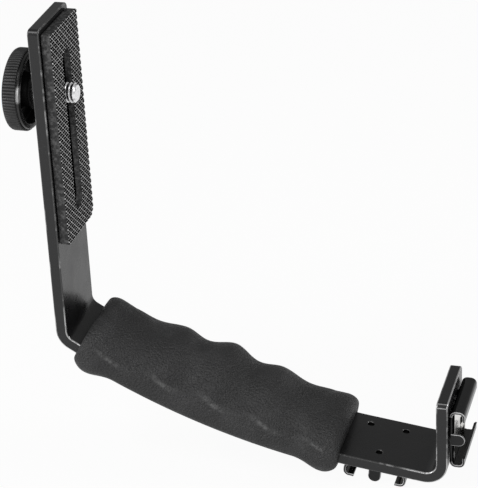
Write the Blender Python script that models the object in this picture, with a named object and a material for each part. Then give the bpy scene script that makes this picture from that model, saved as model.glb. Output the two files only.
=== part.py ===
"""Camera flash bracket: a bent flat bar with a camera pad, a captive screw, a hand grip and two shoes.

Drawing frame: X runs from the camera arm to the end flange, Y from front to back across the bar and Z up
the arm. X is zero on the arm's inner face, Y is zero on the bar's middle plane and Z is zero where the
arm's first bend starts. Everything hangs on one empty, which is moved at the end so that the bracket
stands centred on the origin. All lengths are in metres.
"""

import math

import bmesh
import bpy
from mathutils import Matrix, Vector

# Clearances and cuts
FIT_GAP = 0.0003
CUT_OVERRUN = 0.002

# Flat bar
BAR_WIDTH = 0.0254
BAR_THICKNESS = 0.0037
BAR_CORNER_RADIUS = 0.0018
BAR_EDGE_RADIUS = 0.0004
BEND_INNER_RADIUS = 0.0034
ARM_LENGTH = 0.10345
BOW_RADIUS = 0.235
END_ANGLE = math.radians(7.0)
END_LENGTH = 0.02151
FLANGE_LENGTH = 0.02237

# Camera pad and the slot through it
PAD_WIDTH = 0.0231
PAD_LENGTH = 0.0707
PAD_THICKNESS = 0.0031
PAD_TOP_SETBACK = 0.0017
PAD_CORNER_RADIUS = 0.0008
PAD_TRIMMED_CORNER = 0.0034
SLOT_WIDTH = 0.0069
SLOT_RISE = 0.01135
SLOT_DROP = 0.01235

# Camera screw, one quarter inch with twenty turns to the inch
THREAD_RADIUS = 0.003175
THREAD_DEPTH = 0.00065
THREAD_PITCH = 0.00127
THREAD_LENGTH = 0.0033
TIP_CHAMFER = 0.0006
SHANK_RADIUS = 0.0025
HEAD_FLATS = 0.0075
HEAD_HEIGHT = 0.0024
SCREW_DROP = 0.01095
KNOB_STANDOFF = 0.005

# Washers on the camera screw
RETAINER_RADIUS = 0.0052
RETAINER_THICKNESS = 0.0006
RETAINER_PLAY = 0.0017
WASHER_RADIUS = 0.006
WASHER_THICKNESS = 0.0008

# Knob
KNOB_RADIUS = 0.0129
KNOB_THICKNESS = 0.0055
KNOB_CHAMFER = 0.0007
KNURL_DEPTH = 0.0004
KNOB_STEP = 0.0006
KNOB_LIP_HEIGHT = 0.0009
KNOB_WALL = 0.0017
KNOB_WEB = 0.002
HUB_RADIUS = 0.0055

# Grip
GRIP_START = 0.0033
GRIP_LENGTH = 0.0908
GRIP_FREE_BOW = 0.0061
GRIP_HALF_DEPTH = 0.0156
GRIP_PALM_HEIGHT = 0.00556
GRIP_FINGER_HEIGHT = 0.01145
GRIP_CROWN_RISE = 0.0063
GRIP_CROWN_POWER = 1.38
GRIP_ROUNDNESS = 2.3
GRIP_FAN_SHARE = 0.7
GRIP_FINGER_END_REACH = 0.0045
GRIP_FINGER_END_DROP = 0.0032
GRIP_PALM_END_REACH = 0.0085
GRIP_PALM_END_DROP = 0.0044
GRIP_END_NARROWING = 0.001
GRIP_LOBE_RISE = 0.0043
GRIP_LOBE_OFFSET = 0.003
GRIP_LOBE_REACH = 0.0115
GRIP_LOBE_DEPTH_SHARE = 0.2
FINGER_PITCH = 0.0182
FINGER_OFFSET = 0.0006
FINGER_DEPTHS = (0.00095, 0.00195, 0.002, 0.00105)
FINGER_FADE_SHARES = (-0.25, 0.75)

# Accessory shoes
SHEET_THICKNESS = 0.0008
SHOE_WIDTH = 0.0203
SHOE_HEIGHT = 0.0048
RAIL_RADIUS = 0.0019
SHOE_LENGTH = 0.0215
LIP_GAP = 0.0134
STOP_WIDTH = 0.0036
STOP_HEIGHT = 0.0048
EAR_LENGTH = 0.0013
EAR_WIDTH = 0.0008
EAR_HEIGHT = 0.0009
LOWER_SHOE_PLACE = 0.0058
UPPER_SHOE_PLACE = 0.00885

# Shoe springs
SPRING_THICKNESS = 0.0003
SPRING_WIDTH = 0.0172
SPRING_ARM_WIDTH = 0.0072
SPRING_BRIDGE_LENGTH = 0.0095
SPRING_RISE = 0.0007
SPRING_END_SETBACK = 0.0012

# Shoe screws
FIXING_RADIUS = 0.001
FIXING_HEAD_RADIUS = 0.0018
FIXING_HOLE_RADIUS = FIXING_RADIUS + FIT_GAP
FIXING_SIDE = 0.00585
FIXING_BACK = 0.00775
FIXING_FRONT = 0.0068
FIXING_RECESS = 0.0007

# Facets
BEND_STEPS = 7
BOW_STEPS = 18
ROUND_STEPS = 24
CORNER_STEPS = 4
SLOT_END_STEPS = 10
KNURL_TEETH = 60
THREAD_STEPS_A_TURN = 6
GRIP_RINGS = 44
GRIP_RING_POINTS = 30
SHOE_ARC_STEPS = 5
FIXING_STEPS = 12
SPRING_STEPS = 8

BEND_RADIUS = BEND_INNER_RADIUS + BAR_THICKNESS / 2
BOW_LENGTH = GRIP_START + GRIP_LENGTH + GRIP_FREE_BOW
BOW_START_ANGLE = END_ANGLE + BOW_LENGTH / BOW_RADIUS
PAD_FACE = FIT_GAP + PAD_THICKNESS
PAD_TOP = ARM_LENGTH - PAD_TOP_SETBACK
PAD_BOTTOM = PAD_TOP - PAD_LENGTH
SLOT_LOW = PAD_BOTTOM + SLOT_RISE
SLOT_HIGH = PAD_TOP - SLOT_DROP
SCREW_HEIGHT = SLOT_HIGH - SCREW_DROP
KNOB_INNER_FACE = -BAR_THICKNESS - KNOB_STANDOFF
KNOB_OUTER_FACE = KNOB_INNER_FACE - KNOB_THICKNESS
THREAD_START = FIT_GAP + RETAINER_THICKNESS + RETAINER_PLAY


def clear_scene():
    """Removes every object that the file opens with."""
    for item in list(bpy.data.objects):
        bpy.data.objects.remove(item, do_unlink=True)


def finish(name, colour, roughness, metallic=0.0):
    """A plain material with one Principled shader."""
    material = bpy.data.materials.new(name)
    material.use_nodes = True
    shader = material.node_tree.nodes["Principled BSDF"]
    shader.inputs["Base Color"].default_value = (*colour, 1.0)
    shader.inputs["Roughness"].default_value = roughness
    shader.inputs["Metallic"].default_value = metallic
    material.diffuse_color = (*colour, 1.0)
    return material


def empty(name, parent, location):
    """An empty that carries other objects and sits on a joint's axis."""
    holder = bpy.data.objects.new(name, None)
    holder.parent = parent
    holder.location = location
    bpy.context.scene.collection.objects.link(holder)
    return holder


def make_object(name, bm, parent, material=None, place=Matrix.Identity(4), smooth=False):
    """Turns a bmesh into an object under the given parent."""
    bmesh.ops.recalc_face_normals(bm, faces=bm.faces)
    mesh = bpy.data.meshes.new(name)
    bm.to_mesh(mesh)
    bm.free()
    if material:
        mesh.materials.append(material)
    if smooth:
        mesh.shade_smooth()
        mesh.set_sharp_from_angle(angle=math.radians(35))
    item = bpy.data.objects.new(name, mesh)
    item.parent = parent
    item.matrix_local = place
    bpy.context.scene.collection.objects.link(item)
    return item


def make_tool(name, bm, parent, place=Matrix.Identity(4)):
    """An object that only shapes others."""
    tool = make_object(name, bm, parent, place=place)
    tool.hide_render = True
    tool.display_type = "WIRE"
    return tool


def combine(target, tool, operation):
    """Joins a tool to an object or cuts it away, live."""
    modifier = target.modifiers.new(tool.name, "BOOLEAN")
    modifier.operation = operation
    modifier.solver = "EXACT"
    modifier.object = tool


def loft(rings, closed=False):
    """Skins a row of rings. A ring may have twice the points of its neighbour.

    Closed joins the last ring to the first. Open rings get a flat cap at both ends.
    """
    bm = bmesh.new()
    loops = [[bm.verts.new(point) for point in ring] for ring in rings]
    pairs = list(zip(loops, loops[1:]))
    if closed:
        pairs.append((loops[-1], loops[0]))
    for first, second in pairs:
        fine, coarse = (first, second) if len(first) >= len(second) else (second, first)
        ratio = len(fine) // len(coarse)
        for index, vertex in enumerate(coarse):
            after = coarse[(index + 1) % len(coarse)]
            run = [fine[(index * ratio + step) % len(fine)] for step in range(ratio + 1)]
            bm.faces.new((vertex, after, run[-1], run[-2]))
            for near, far in zip(run[:-2], run[1:-1]):
                bm.faces.new((vertex, far, near))
    if not closed:
        bm.faces.new(loops[0])
        bm.faces.new(loops[-1])
    bmesh.ops.recalc_face_normals(bm, faces=bm.faces)
    return bm


def ring_about_x(place, radius, points=ROUND_STEPS):
    """A ring round the X axis. The radius may be a function of the angle."""
    ring = []
    for index in range(points):
        angle = math.tau * index / points
        size = radius(angle) if callable(radius) else radius
        ring.append((place, size * math.cos(angle), size * math.sin(angle)))
    return ring


def prism(outline, low, high, axis="Y"):
    """A flat outline pushed from low to high along one axis. It holds the two other coordinates."""
    position = "XYZ".index(axis)

    def spot(pair, along):
        values = list(pair)
        values.insert(position, along)
        return values

    return loft([[spot(pair, low) for pair in outline], [spot(pair, high) for pair in outline]])


def arc(centre, radius, start, end, steps):
    """Points on an arc, both ends included."""
    return [
        (
            centre[0] + radius * math.cos(start + (end - start) * step / steps),
            centre[1] + radius * math.sin(start + (end - start) * step / steps),
        )
        for step in range(steps + 1)
    ]


def stadium(centre_low, centre_high, radius, steps=SLOT_END_STEPS):
    """A slot's outline with round ends, upright in its plane."""
    upper = arc(centre_high, radius, 0, math.pi, steps)
    lower = arc(centre_low, radius, math.pi, math.tau, steps)
    return upper + lower


def straight(length):
    """A straight stretch of the bar."""
    return {"length": length, "radius": None}


def curved(radius, turn):
    """A stretch of the bar that turns upwards on a radius of its middle line."""
    return {"length": radius * turn, "radius": radius}


BAR_STRETCHES = {
    "arm": straight(ARM_LENGTH),
    "first bend": curved(BEND_RADIUS, math.pi / 2 - BOW_START_ANGLE),
    "bow": curved(BOW_RADIUS, BOW_START_ANGLE - END_ANGLE),
    "end": straight(END_LENGTH),
    "second bend": curved(BEND_RADIUS, math.pi / 2 + END_ANGLE),
    "flange": straight(FLANGE_LENGTH),
}


def station(stretch, along):
    """Place and heading of the bar's middle line, a distance along one of its stretches.

    The heading is an angle above +X. The arm runs down, so it starts at minus a quarter turn.
    """
    x, z, heading = -BAR_THICKNESS / 2, ARM_LENGTH, -math.pi / 2
    for name, shape in BAR_STRETCHES.items():
        here = name == stretch
        distance = along if here else shape["length"]
        if shape["radius"] is None:
            x += distance * math.cos(heading)
            z += distance * math.sin(heading)
        else:
            turned = heading + distance / shape["radius"]
            x += shape["radius"] * (math.sin(turned) - math.sin(heading))
            z -= shape["radius"] * (math.cos(turned) - math.cos(heading))
            heading = turned
        if here:
            return x, z, heading
    raise KeyError(stretch)


def bar_frame(stretch, along, side):
    """A matrix on the bar's surface: Y across the bar and Z away from it.

    Side is 1 for the surface inside the bracket and -1 for the one outside.
    """
    x, z, heading = station(stretch, along)
    outward = Vector((-math.sin(heading), 0, math.cos(heading))) * side
    depth = Vector((0, 1, 0))
    across = depth.cross(outward)
    rotation = Matrix((across, depth, outward)).transposed().to_4x4()
    surface = Vector((x, 0, z)) + outward * BAR_THICKNESS / 2
    return Matrix.Translation(surface) @ rotation


def bar_stations(names, steps):
    """Middle-line stations along some stretches, in order and without doubles."""
    found = [station(names[0], 0)]
    for name in names:
        length = BAR_STRETCHES[name]["length"]
        count = steps.get(name, 1)
        found += [station(name, length * step / count) for step in range(1, count + 1)]
    return found


def bar_outline(stations, half_thickness):
    """The bar's side outline, from its inner surface back along its outer one."""
    inner = [(x - math.sin(a) * half_thickness, z + math.cos(a) * half_thickness) for x, z, a in stations]
    outer = [(x + math.sin(a) * half_thickness, z - math.cos(a) * half_thickness) for x, z, a in stations]
    return inner + outer[::-1]


def build_bar(parent, material):
    """The bent bar, with rounded corners at both ends and softened edges."""
    steps = {"first bend": BEND_STEPS, "bow": BOW_STEPS, "second bend": BEND_STEPS}
    outline = bar_outline(bar_stations(list(BAR_STRETCHES), steps), BAR_THICKNESS / 2)
    bm = prism(outline, -BAR_WIDTH / 2, BAR_WIDTH / 2)
    end_x, end_z, _ = station("flange", FLANGE_LENGTH)
    reach = BAR_THICKNESS
    ends = (Vector((-BAR_THICKNESS / 2, 0, ARM_LENGTH)), Vector((end_x, 0, end_z)))
    corners = []
    for edge in bm.edges:
        run = edge.verts[1].co - edge.verts[0].co
        middle = (edge.verts[0].co + edge.verts[1].co) / 2
        at_end = any((middle - Vector((0, middle.y, 0)) - end).length < reach / 2 for end in ends)
        if at_end and abs(run.x) > reach / 2:
            corners.append(edge)
    bmesh.ops.bevel(
        bm, geom=corners, offset=BAR_CORNER_RADIUS, segments=CORNER_STEPS, profile=0.5, affect="EDGES"
    )
    bm.normal_update()
    rims = [edge for edge in bm.edges if edge.calc_face_angle(0) > math.radians(50)]
    bmesh.ops.bevel(bm, geom=rims, offset=BAR_EDGE_RADIUS, segments=2, profile=0.5, affect="EDGES")
    return make_object("bracket_bar", bm, parent, material)


def build_slot_tool(parent):
    """The cutter for the slot that runs through the arm and its pad."""
    outline = stadium((0, SLOT_LOW), (0, SLOT_HIGH), SLOT_WIDTH / 2)
    bm = prism(outline, -BAR_THICKNESS - CUT_OVERRUN, PAD_FACE + CUT_OVERRUN, axis="X")
    return make_tool("cut_slot", bm, parent)


def build_pad(parent, material, slot_tool):
    """The rubber pad, with the screw's slot and a channel for the retaining washer under it."""
    half = PAD_WIDTH / 2
    quarter = math.pi / 2
    corners = (
        (half, PAD_TOP, PAD_CORNER_RADIUS, 0),
        (-half, PAD_TOP, PAD_CORNER_RADIUS, 1),
        (-half, PAD_BOTTOM, PAD_CORNER_RADIUS, 2),
        (half, PAD_BOTTOM, PAD_TRIMMED_CORNER, 3),
    )
    outline = []
    for y, z, radius, turn in corners:
        centre = (y - math.copysign(radius, y), z - math.copysign(radius, z - (PAD_TOP + PAD_BOTTOM) / 2))
        outline += arc(centre, radius, turn * quarter, (turn + 1) * quarter, CORNER_STEPS)
    pad = make_object("camera_pad", prism(outline, FIT_GAP, PAD_FACE, axis="X"), parent, material)
    channel = stadium((0, SLOT_LOW), (0, SLOT_HIGH), RETAINER_RADIUS + FIT_GAP)
    depth = FIT_GAP + RETAINER_THICKNESS + FIT_GAP
    channel_tool = make_tool("cut_pad_channel", prism(channel, -CUT_OVERRUN, depth, axis="X"), parent)
    combine(pad, slot_tool, "DIFFERENCE")
    combine(pad, channel_tool, "DIFFERENCE")
    return pad


def hexagon(flats):
    """Radius of a hexagon as a function of the angle."""
    sixth = math.tau / 6

    def radius(angle):
        return flats / 2 / math.cos(angle % sixth - sixth / 2)

    return radius


def thread_radius(along):
    """Radius of the screw thread at one distance along it, as a function of the angle."""

    def radius(angle):
        phase = (along / THREAD_PITCH - angle / math.tau) % 1
        crest = 1 - abs(2 * phase - 1)
        full = THREAD_RADIUS - THREAD_DEPTH * (1 - crest)
        tip_room = max(0, along - (THREAD_LENGTH - TIP_CHAMFER))
        return min(full, THREAD_RADIUS - THREAD_DEPTH * tip_room / TIP_CHAMFER)

    return radius


def build_camera_screw(parent, material):
    """The camera screw: hexagon head, plain shank and a threaded end. Its origin is on its axis."""
    head_low = KNOB_OUTER_FACE + FIT_GAP
    head_high = head_low + HEAD_HEIGHT
    rings = [
        ring_about_x(head_low, hexagon(HEAD_FLATS)),
        ring_about_x(head_high, hexagon(HEAD_FLATS)),
        ring_about_x(head_high, SHANK_RADIUS),
        ring_about_x(THREAD_START, SHANK_RADIUS),
    ]
    count = round(THREAD_LENGTH / THREAD_PITCH * THREAD_STEPS_A_TURN)
    for step in range(count + 1):
        along = THREAD_LENGTH * step / count
        rings.append(ring_about_x(THREAD_START + along, thread_radius(along)))
    return make_object("camera_screw", loft(rings), parent, material, smooth=True)


def build_washer(name, parent, material, low, thickness, radius):
    """A flat washer round the screw's shank."""
    bore = SHANK_RADIUS + FIT_GAP
    rings = [
        ring_about_x(low, bore),
        ring_about_x(low, radius),
        ring_about_x(low + thickness, radius),
        ring_about_x(low + thickness, bore),
    ]
    return make_object(name, loft(rings, closed=True), parent, material, smooth=True)


def build_knob(parent, material):
    """The knurled knob: a cup towards the arm, with a hub and a hexagonal pocket for the screw's head."""
    outer = KNOB_OUTER_FACE
    inner = KNOB_INNER_FACE
    band = inner - KNOB_LIP_HEIGHT
    lip = KNOB_RADIUS - KNOB_STEP
    cup = KNOB_RADIUS - KNOB_STEP - KNOB_WALL
    web = outer + KNOB_WEB
    pocket_floor = outer + FIT_GAP + HEAD_HEIGHT + FIT_GAP
    pocket = hexagon(HEAD_FLATS + 2 * FIT_GAP)
    bore = SHANK_RADIUS + FIT_GAP
    fine = KNURL_TEETH * 2

    def knurled(angle):
        tooth = round(angle / math.tau * fine) % 2
        return KNOB_RADIUS - KNURL_DEPTH * tooth

    sections = [
        (outer, pocket, KNURL_TEETH),
        (outer, KNOB_RADIUS - KNOB_CHAMFER, KNURL_TEETH),
        (outer + KNOB_CHAMFER, knurled, fine),
        (band, knurled, fine),
        (band, lip, KNURL_TEETH),
        (inner - KNOB_STEP, lip, KNURL_TEETH),
        (inner, lip - KNOB_STEP, KNURL_TEETH),
        (inner, cup, KNURL_TEETH),
        (web, cup - KNOB_STEP / 2, KNURL_TEETH),
        (web, HUB_RADIUS, KNURL_TEETH),
        (inner, HUB_RADIUS - KNOB_STEP / 2, KNURL_TEETH),
        (inner, bore, KNURL_TEETH),
        (pocket_floor, bore, KNURL_TEETH),
        (pocket_floor, pocket, KNURL_TEETH),
    ]
    rings = [ring_about_x(place, radius, points) for place, radius, points in sections]
    return make_object("knob", loft(rings, closed=True), parent, material, smooth=True)


def end_rounding(from_end, reach):
    """Share of an end's rounding at a distance from the end: 1 on the end face and 0 from the reach on."""
    short = max(0, 1 - from_end / reach)
    return 1 - math.sqrt(1 - short**2)


def grip_outline(along):
    """Half depth, finger height, palm height and finger cut of the grip, a distance from its start."""
    centre = along - GRIP_LENGTH / 2 - FINGER_OFFSET
    from_end = min(along, GRIP_LENGTH - along)
    reach = len(FINGER_DEPTHS) * FINGER_PITCH / 2
    crown = 1 - min(1, abs(centre) / reach) ** GRIP_CROWN_POWER
    fingers = GRIP_FINGER_HEIGHT + GRIP_CROWN_RISE * crown
    cut = 0
    if abs(centre) < reach:
        turns = (centre + reach) / FINGER_PITCH
        cut = FINGER_DEPTHS[int(turns)] * (1 - math.cos(math.tau * turns)) / 2
    lobe = 0
    if abs(from_end - GRIP_LOBE_OFFSET) < GRIP_LOBE_REACH:
        lobe = GRIP_LOBE_RISE * math.cos(math.pi / 2 * (from_end - GRIP_LOBE_OFFSET) / GRIP_LOBE_REACH) ** 2
    finger_rounding = end_rounding(from_end, GRIP_FINGER_END_REACH)
    palm_rounding = end_rounding(from_end, GRIP_PALM_END_REACH)
    depth = GRIP_HALF_DEPTH + lobe * GRIP_LOBE_DEPTH_SHARE - GRIP_END_NARROWING * finger_rounding
    fingers -= GRIP_FINGER_END_DROP * finger_rounding
    palm = GRIP_PALM_HEIGHT + lobe - GRIP_PALM_END_DROP * palm_rounding
    return depth, fingers, palm, cut


def smooth_step(value, low, high):
    """Rises from 0 at low to 1 at high with level ends."""
    share = min(1, max(0, (value - low) / (high - low)))
    return share * share * (3 - 2 * share)


def grip_ring(along):
    """One section of the grip. It is square to the bowed bar halfway along and leans inwards at the ends."""
    half_depth, fingers, palm, cut = grip_outline(along)
    x, z, heading = station("bow", GRIP_START + along)
    middle_heading = station("bow", GRIP_START + GRIP_LENGTH / 2)[2]
    lean = middle_heading + (heading - middle_heading) * GRIP_FAN_SHARE
    up = Vector((-math.sin(lean), 0, math.cos(lean)))
    ring = []
    for index in range(GRIP_RING_POINTS):
        angle = math.tau * index / GRIP_RING_POINTS
        share_y = math.copysign(abs(math.cos(angle)) ** (2 / GRIP_ROUNDNESS), math.cos(angle))
        share_z = math.copysign(abs(math.sin(angle)) ** (2 / GRIP_ROUNDNESS), math.sin(angle))
        fade = smooth_step(math.sin(angle), *FINGER_FADE_SHARES)
        height = fingers if share_z > 0 else palm
        point = Vector((x, half_depth * share_y, z)) + up * height * share_z
        inward = Vector((0, -share_y, 0)) - up * share_z
        ring.append(point + inward.normalized() * cut * fade)
    return ring


def grip_places():
    """Distances of the grip's sections from its start, closer together where its ends are rounded."""
    reach = GRIP_FINGER_END_REACH
    ends = [reach * (1 - math.cos(math.pi / 2 * step / CORNER_STEPS)) for step in range(CORNER_STEPS)]
    middle = GRIP_LENGTH - 2 * reach
    places = ends + [reach + middle * step / GRIP_RINGS for step in range(GRIP_RINGS + 1)]
    return places + [GRIP_LENGTH - place for place in reversed(ends)]


def build_grip(parent, material):
    """The moulded sleeve, with four finger hollows inside the bracket and a smooth palm side."""
    body = loft([grip_ring(place) for place in grip_places()])
    grip = make_object("grip_sleeve", body, parent, material, smooth=True)
    stations = [station("first bend", BEND_RADIUS * (math.pi / 2 - BOW_START_ANGLE) / 2)]
    stations += bar_stations(["bow"], {"bow": BOW_STEPS})
    stations.append(station("end", END_LENGTH / 2))
    outline = bar_outline(stations, BAR_THICKNESS / 2 + FIT_GAP)
    half = BAR_WIDTH / 2 + FIT_GAP
    tool = make_tool("cut_grip_channel", prism(outline, -half, half), parent)
    combine(grip, tool, "DIFFERENCE")
    return grip


def shoe_section():
    """The folded sheet's section: base, two rolled rails and their lips, in the shoe's X and Z."""
    centre_x = SHOE_WIDTH / 2 - RAIL_RADIUS
    low, high = FIT_GAP + RAIL_RADIUS, FIT_GAP + SHOE_HEIGHT - RAIL_RADIUS
    inner_radius = RAIL_RADIUS - SHEET_THICKNESS
    quarter = math.pi / 2
    outside = [(LIP_GAP / 2, high + RAIL_RADIUS)]
    outside += arc((centre_x, high), RAIL_RADIUS, quarter, 0, SHOE_ARC_STEPS)
    outside += arc((centre_x, low), RAIL_RADIUS, 0, -quarter, SHOE_ARC_STEPS)
    inside = arc((centre_x, low), inner_radius, -quarter, 0, SHOE_ARC_STEPS)
    inside += arc((centre_x, high), inner_radius, 0, quarter, SHOE_ARC_STEPS)
    inside.append((LIP_GAP / 2, high + inner_radius))
    left_outside = [(-x, z) for x, z in reversed(outside)]
    left_inside = [(-x, z) for x, z in reversed(inside)]
    return outside + left_outside + left_inside + inside


def build_shoe(name, parent, material, place):
    """One accessory shoe, open at the back, with a round stop at the front and an ear behind one lip."""
    half_length = SHOE_LENGTH / 2
    shoe = make_object(name, prism(shoe_section(), -half_length, half_length), parent, material, place)
    radius = STOP_WIDTH / 2
    base = FIT_GAP + SHEET_THICKNESS / 2
    centre_z = FIT_GAP + STOP_HEIGHT - radius
    stop = [(radius, base)] + arc((0, centre_z), radius, 0, math.pi, SLOT_END_STEPS) + [(-radius, base)]
    stop_face = -half_length - SHEET_THICKNESS / 4
    stop_tool = make_tool(name + "_stop", prism(stop, stop_face, stop_face + SHEET_THICKNESS), parent, place)
    combine(shoe, stop_tool, "UNION")
    edge = LIP_GAP / 2 + SHEET_THICKNESS / 4
    low = FIT_GAP + SHOE_HEIGHT - SHEET_THICKNESS * 3 / 4
    high = low + EAR_HEIGHT
    ear = [(edge, low), (edge + EAR_WIDTH, low), (edge + EAR_WIDTH, high), (edge, high)]
    ear_body = prism(ear, half_length - EAR_LENGTH / 2, half_length + EAR_LENGTH)
    combine(shoe, make_tool(name + "_ear", ear_body, parent, place), "UNION")
    return shoe


def upright_body(sections, steps=FIXING_STEPS):
    """A turned body round the Z axis. Sections hold height and radius."""
    turns = [math.tau * index / steps for index in range(steps)]
    shape = [(math.cos(turn), math.sin(turn)) for turn in turns]
    return loft([[(radius * x, radius * y, height) for x, y in shape] for height, radius in sections])


def cut_fixing_hole(name, parent, place, shoe, bar):
    """Cuts one screw's hole: countersunk through the shoe's base and straight through the bar."""
    top = FIT_GAP + SHEET_THICKNESS
    sections = [
        (-BAR_THICKNESS - CUT_OVERRUN, FIXING_HOLE_RADIUS),
        (FIT_GAP, FIXING_HOLE_RADIUS),
        (top, FIXING_HEAD_RADIUS + FIT_GAP),
        (top + SHEET_THICKNESS / 2, FIXING_HEAD_RADIUS + FIT_GAP),
    ]
    hole = make_tool(name, upright_body(sections), parent, place)
    combine(shoe, hole, "DIFFERENCE")
    combine(bar, hole, "DIFFERENCE")


def build_fixing(name, parent, material, place):
    """One countersunk screw that holds a shoe. It ends just inside the bar."""
    sections = [
        (FIXING_RECESS - BAR_THICKNESS, FIXING_RADIUS),
        (FIT_GAP, FIXING_RADIUS),
        (FIT_GAP + SHEET_THICKNESS, FIXING_HEAD_RADIUS),
    ]
    return make_object(name, upright_body(sections), parent, material, place, smooth=True)


def build_spring(name, parent, material, place):
    """The leaf spring on a shoe's base: two bowed arms joined by a bridge behind the stop."""
    half_width = SPRING_WIDTH / 2
    inner = half_width - SPRING_ARM_WIDTH
    start = -SHOE_LENGTH / 2 + SHEET_THICKNESS + FIT_GAP
    bridge = start + SPRING_BRIDGE_LENGTH
    end = SHOE_LENGTH / 2 - SPRING_END_SETBACK
    rows = [start] + [bridge + (end - bridge) * step / SPRING_STEPS for step in range(SPRING_STEPS + 1)]
    columns = (-half_width, -inner, inner, half_width)
    base = FIT_GAP + SHEET_THICKNESS + FIT_GAP
    bm = bmesh.new()
    grid = {}
    for row, y in enumerate(rows):
        share = max(0, (y - bridge) / (end - bridge))
        height = base + SPRING_RISE * math.sin(math.pi * share) ** 2
        for column, x in enumerate(columns):
            grid[row, column] = (x, y, height)
    corners = {key: bm.verts.new(spot) for key, spot in grid.items()}
    for row in range(len(rows) - 1):
        for column in range(3):
            if column == 1 and row > 0:
                continue
            keys = ((row, column), (row, column + 1), (row + 1, column + 1), (row + 1, column))
            bm.faces.new([corners[key] for key in keys])
    lifted = bmesh.ops.extrude_face_region(bm, geom=list(bm.faces), use_keep_orig=True)["geom"]
    for vertex in [part for part in lifted if isinstance(part, bmesh.types.BMVert)]:
        vertex.co.z += SPRING_THICKNESS
    return make_object(name, bm, parent, material, place)


def stand_on_origin(root):
    """Moves the root empty so that the bracket's box is centred on the origin and stands on it."""
    bpy.context.view_layer.update()
    graph = bpy.context.evaluated_depsgraph_get()
    corners = []
    for item in bpy.data.objects:
        if item.type == "MESH" and not item.hide_render:
            shaped = item.evaluated_get(graph)
            corners += [shaped.matrix_world @ vertex.co for vertex in shaped.data.vertices]
    low = Vector([min(corner[axis] for corner in corners) for axis in range(3)])
    high = Vector([max(corner[axis] for corner in corners) for axis in range(3)])
    root.location = (-(low.x + high.x) / 2, -(low.y + high.y) / 2, -low.z)
    bpy.context.view_layer.update()


def main():
    """Builds the bracket."""
    clear_scene()
    paint = finish("black paint", (0.012, 0.012, 0.013), 0.38)
    shoe_paint = finish("black shoe paint", (0.01, 0.01, 0.011), 0.3)
    rubber = finish("pad rubber", (0.02, 0.02, 0.021), 0.75)
    foam = finish("grip foam", (0.022, 0.022, 0.023), 0.7)
    plastic = finish("knob plastic", (0.014, 0.014, 0.015), 0.45)
    chrome = finish("chrome", (0.85, 0.85, 0.86), 0.12, 1.0)
    nylon = finish("black nylon", (0.015, 0.015, 0.015), 0.5)
    oxide = finish("black oxide", (0.02, 0.02, 0.021), 0.4, 0.6)
    nickel = finish("nickel", (0.6, 0.59, 0.56), 0.25, 1.0)

    root = empty("bracket_origin", None, (0, 0, 0))
    bar = build_bar(root, paint)
    slot_tool = build_slot_tool(root)
    combine(bar, slot_tool, "DIFFERENCE")
    build_pad(root, rubber, slot_tool)
    build_grip(root, foam)

    slide = empty("slot_slide_axis", root, (0, 0, SCREW_HEIGHT))
    travel = empty("screw_travel_axis", slide, (0, 0, 0))
    turn = empty("knob_turn_axis", travel, (0, 0, 0))
    build_washer("retaining_washer", slide, nylon, FIT_GAP, RETAINER_THICKNESS, RETAINER_RADIUS)
    build_washer("clamp_washer", travel, oxide, KNOB_INNER_FACE + FIT_GAP, WASHER_THICKNESS, WASHER_RADIUS)
    build_camera_screw(turn, chrome)
    build_knob(turn, plastic)

    shoes = (("lower_shoe", "end", LOWER_SHOE_PLACE), ("upper_shoe", "flange", UPPER_SHOE_PLACE))
    fixings = (("1", -FIXING_SIDE, FIXING_BACK), ("2", FIXING_SIDE, FIXING_BACK), ("3", 0, -FIXING_FRONT))
    for name, stretch, along in shoes:
        place = bar_frame(stretch, along, -1)
        shoe = build_shoe(name, root, shoe_paint, place)
        build_spring(name + "_spring", root, nickel, place)
        for label, across, depth in fixings:
            spot = place @ Matrix.Translation((across, depth, 0))
            build_fixing(name + "_screw_" + label, root, oxide, spot)
            cut_fixing_hole(name + "_hole_" + label, root, spot, shoe, bar)

    stand_on_origin(root)


main()
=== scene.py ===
"""Looks of a camera flash bracket: every visible surface, the studio and the camera.

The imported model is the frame. Sizes are in metres. The bracket's own frame has X from the camera arm to
the end flange, Y from front to back and Z up the arm, and BracketLine.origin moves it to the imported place.
"""

import logging
import math
from dataclasses import dataclass, field
from enum import Enum
from typing import Callable, Sequence

import bmesh
import bpy
from mathutils import Matrix, Vector


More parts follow.
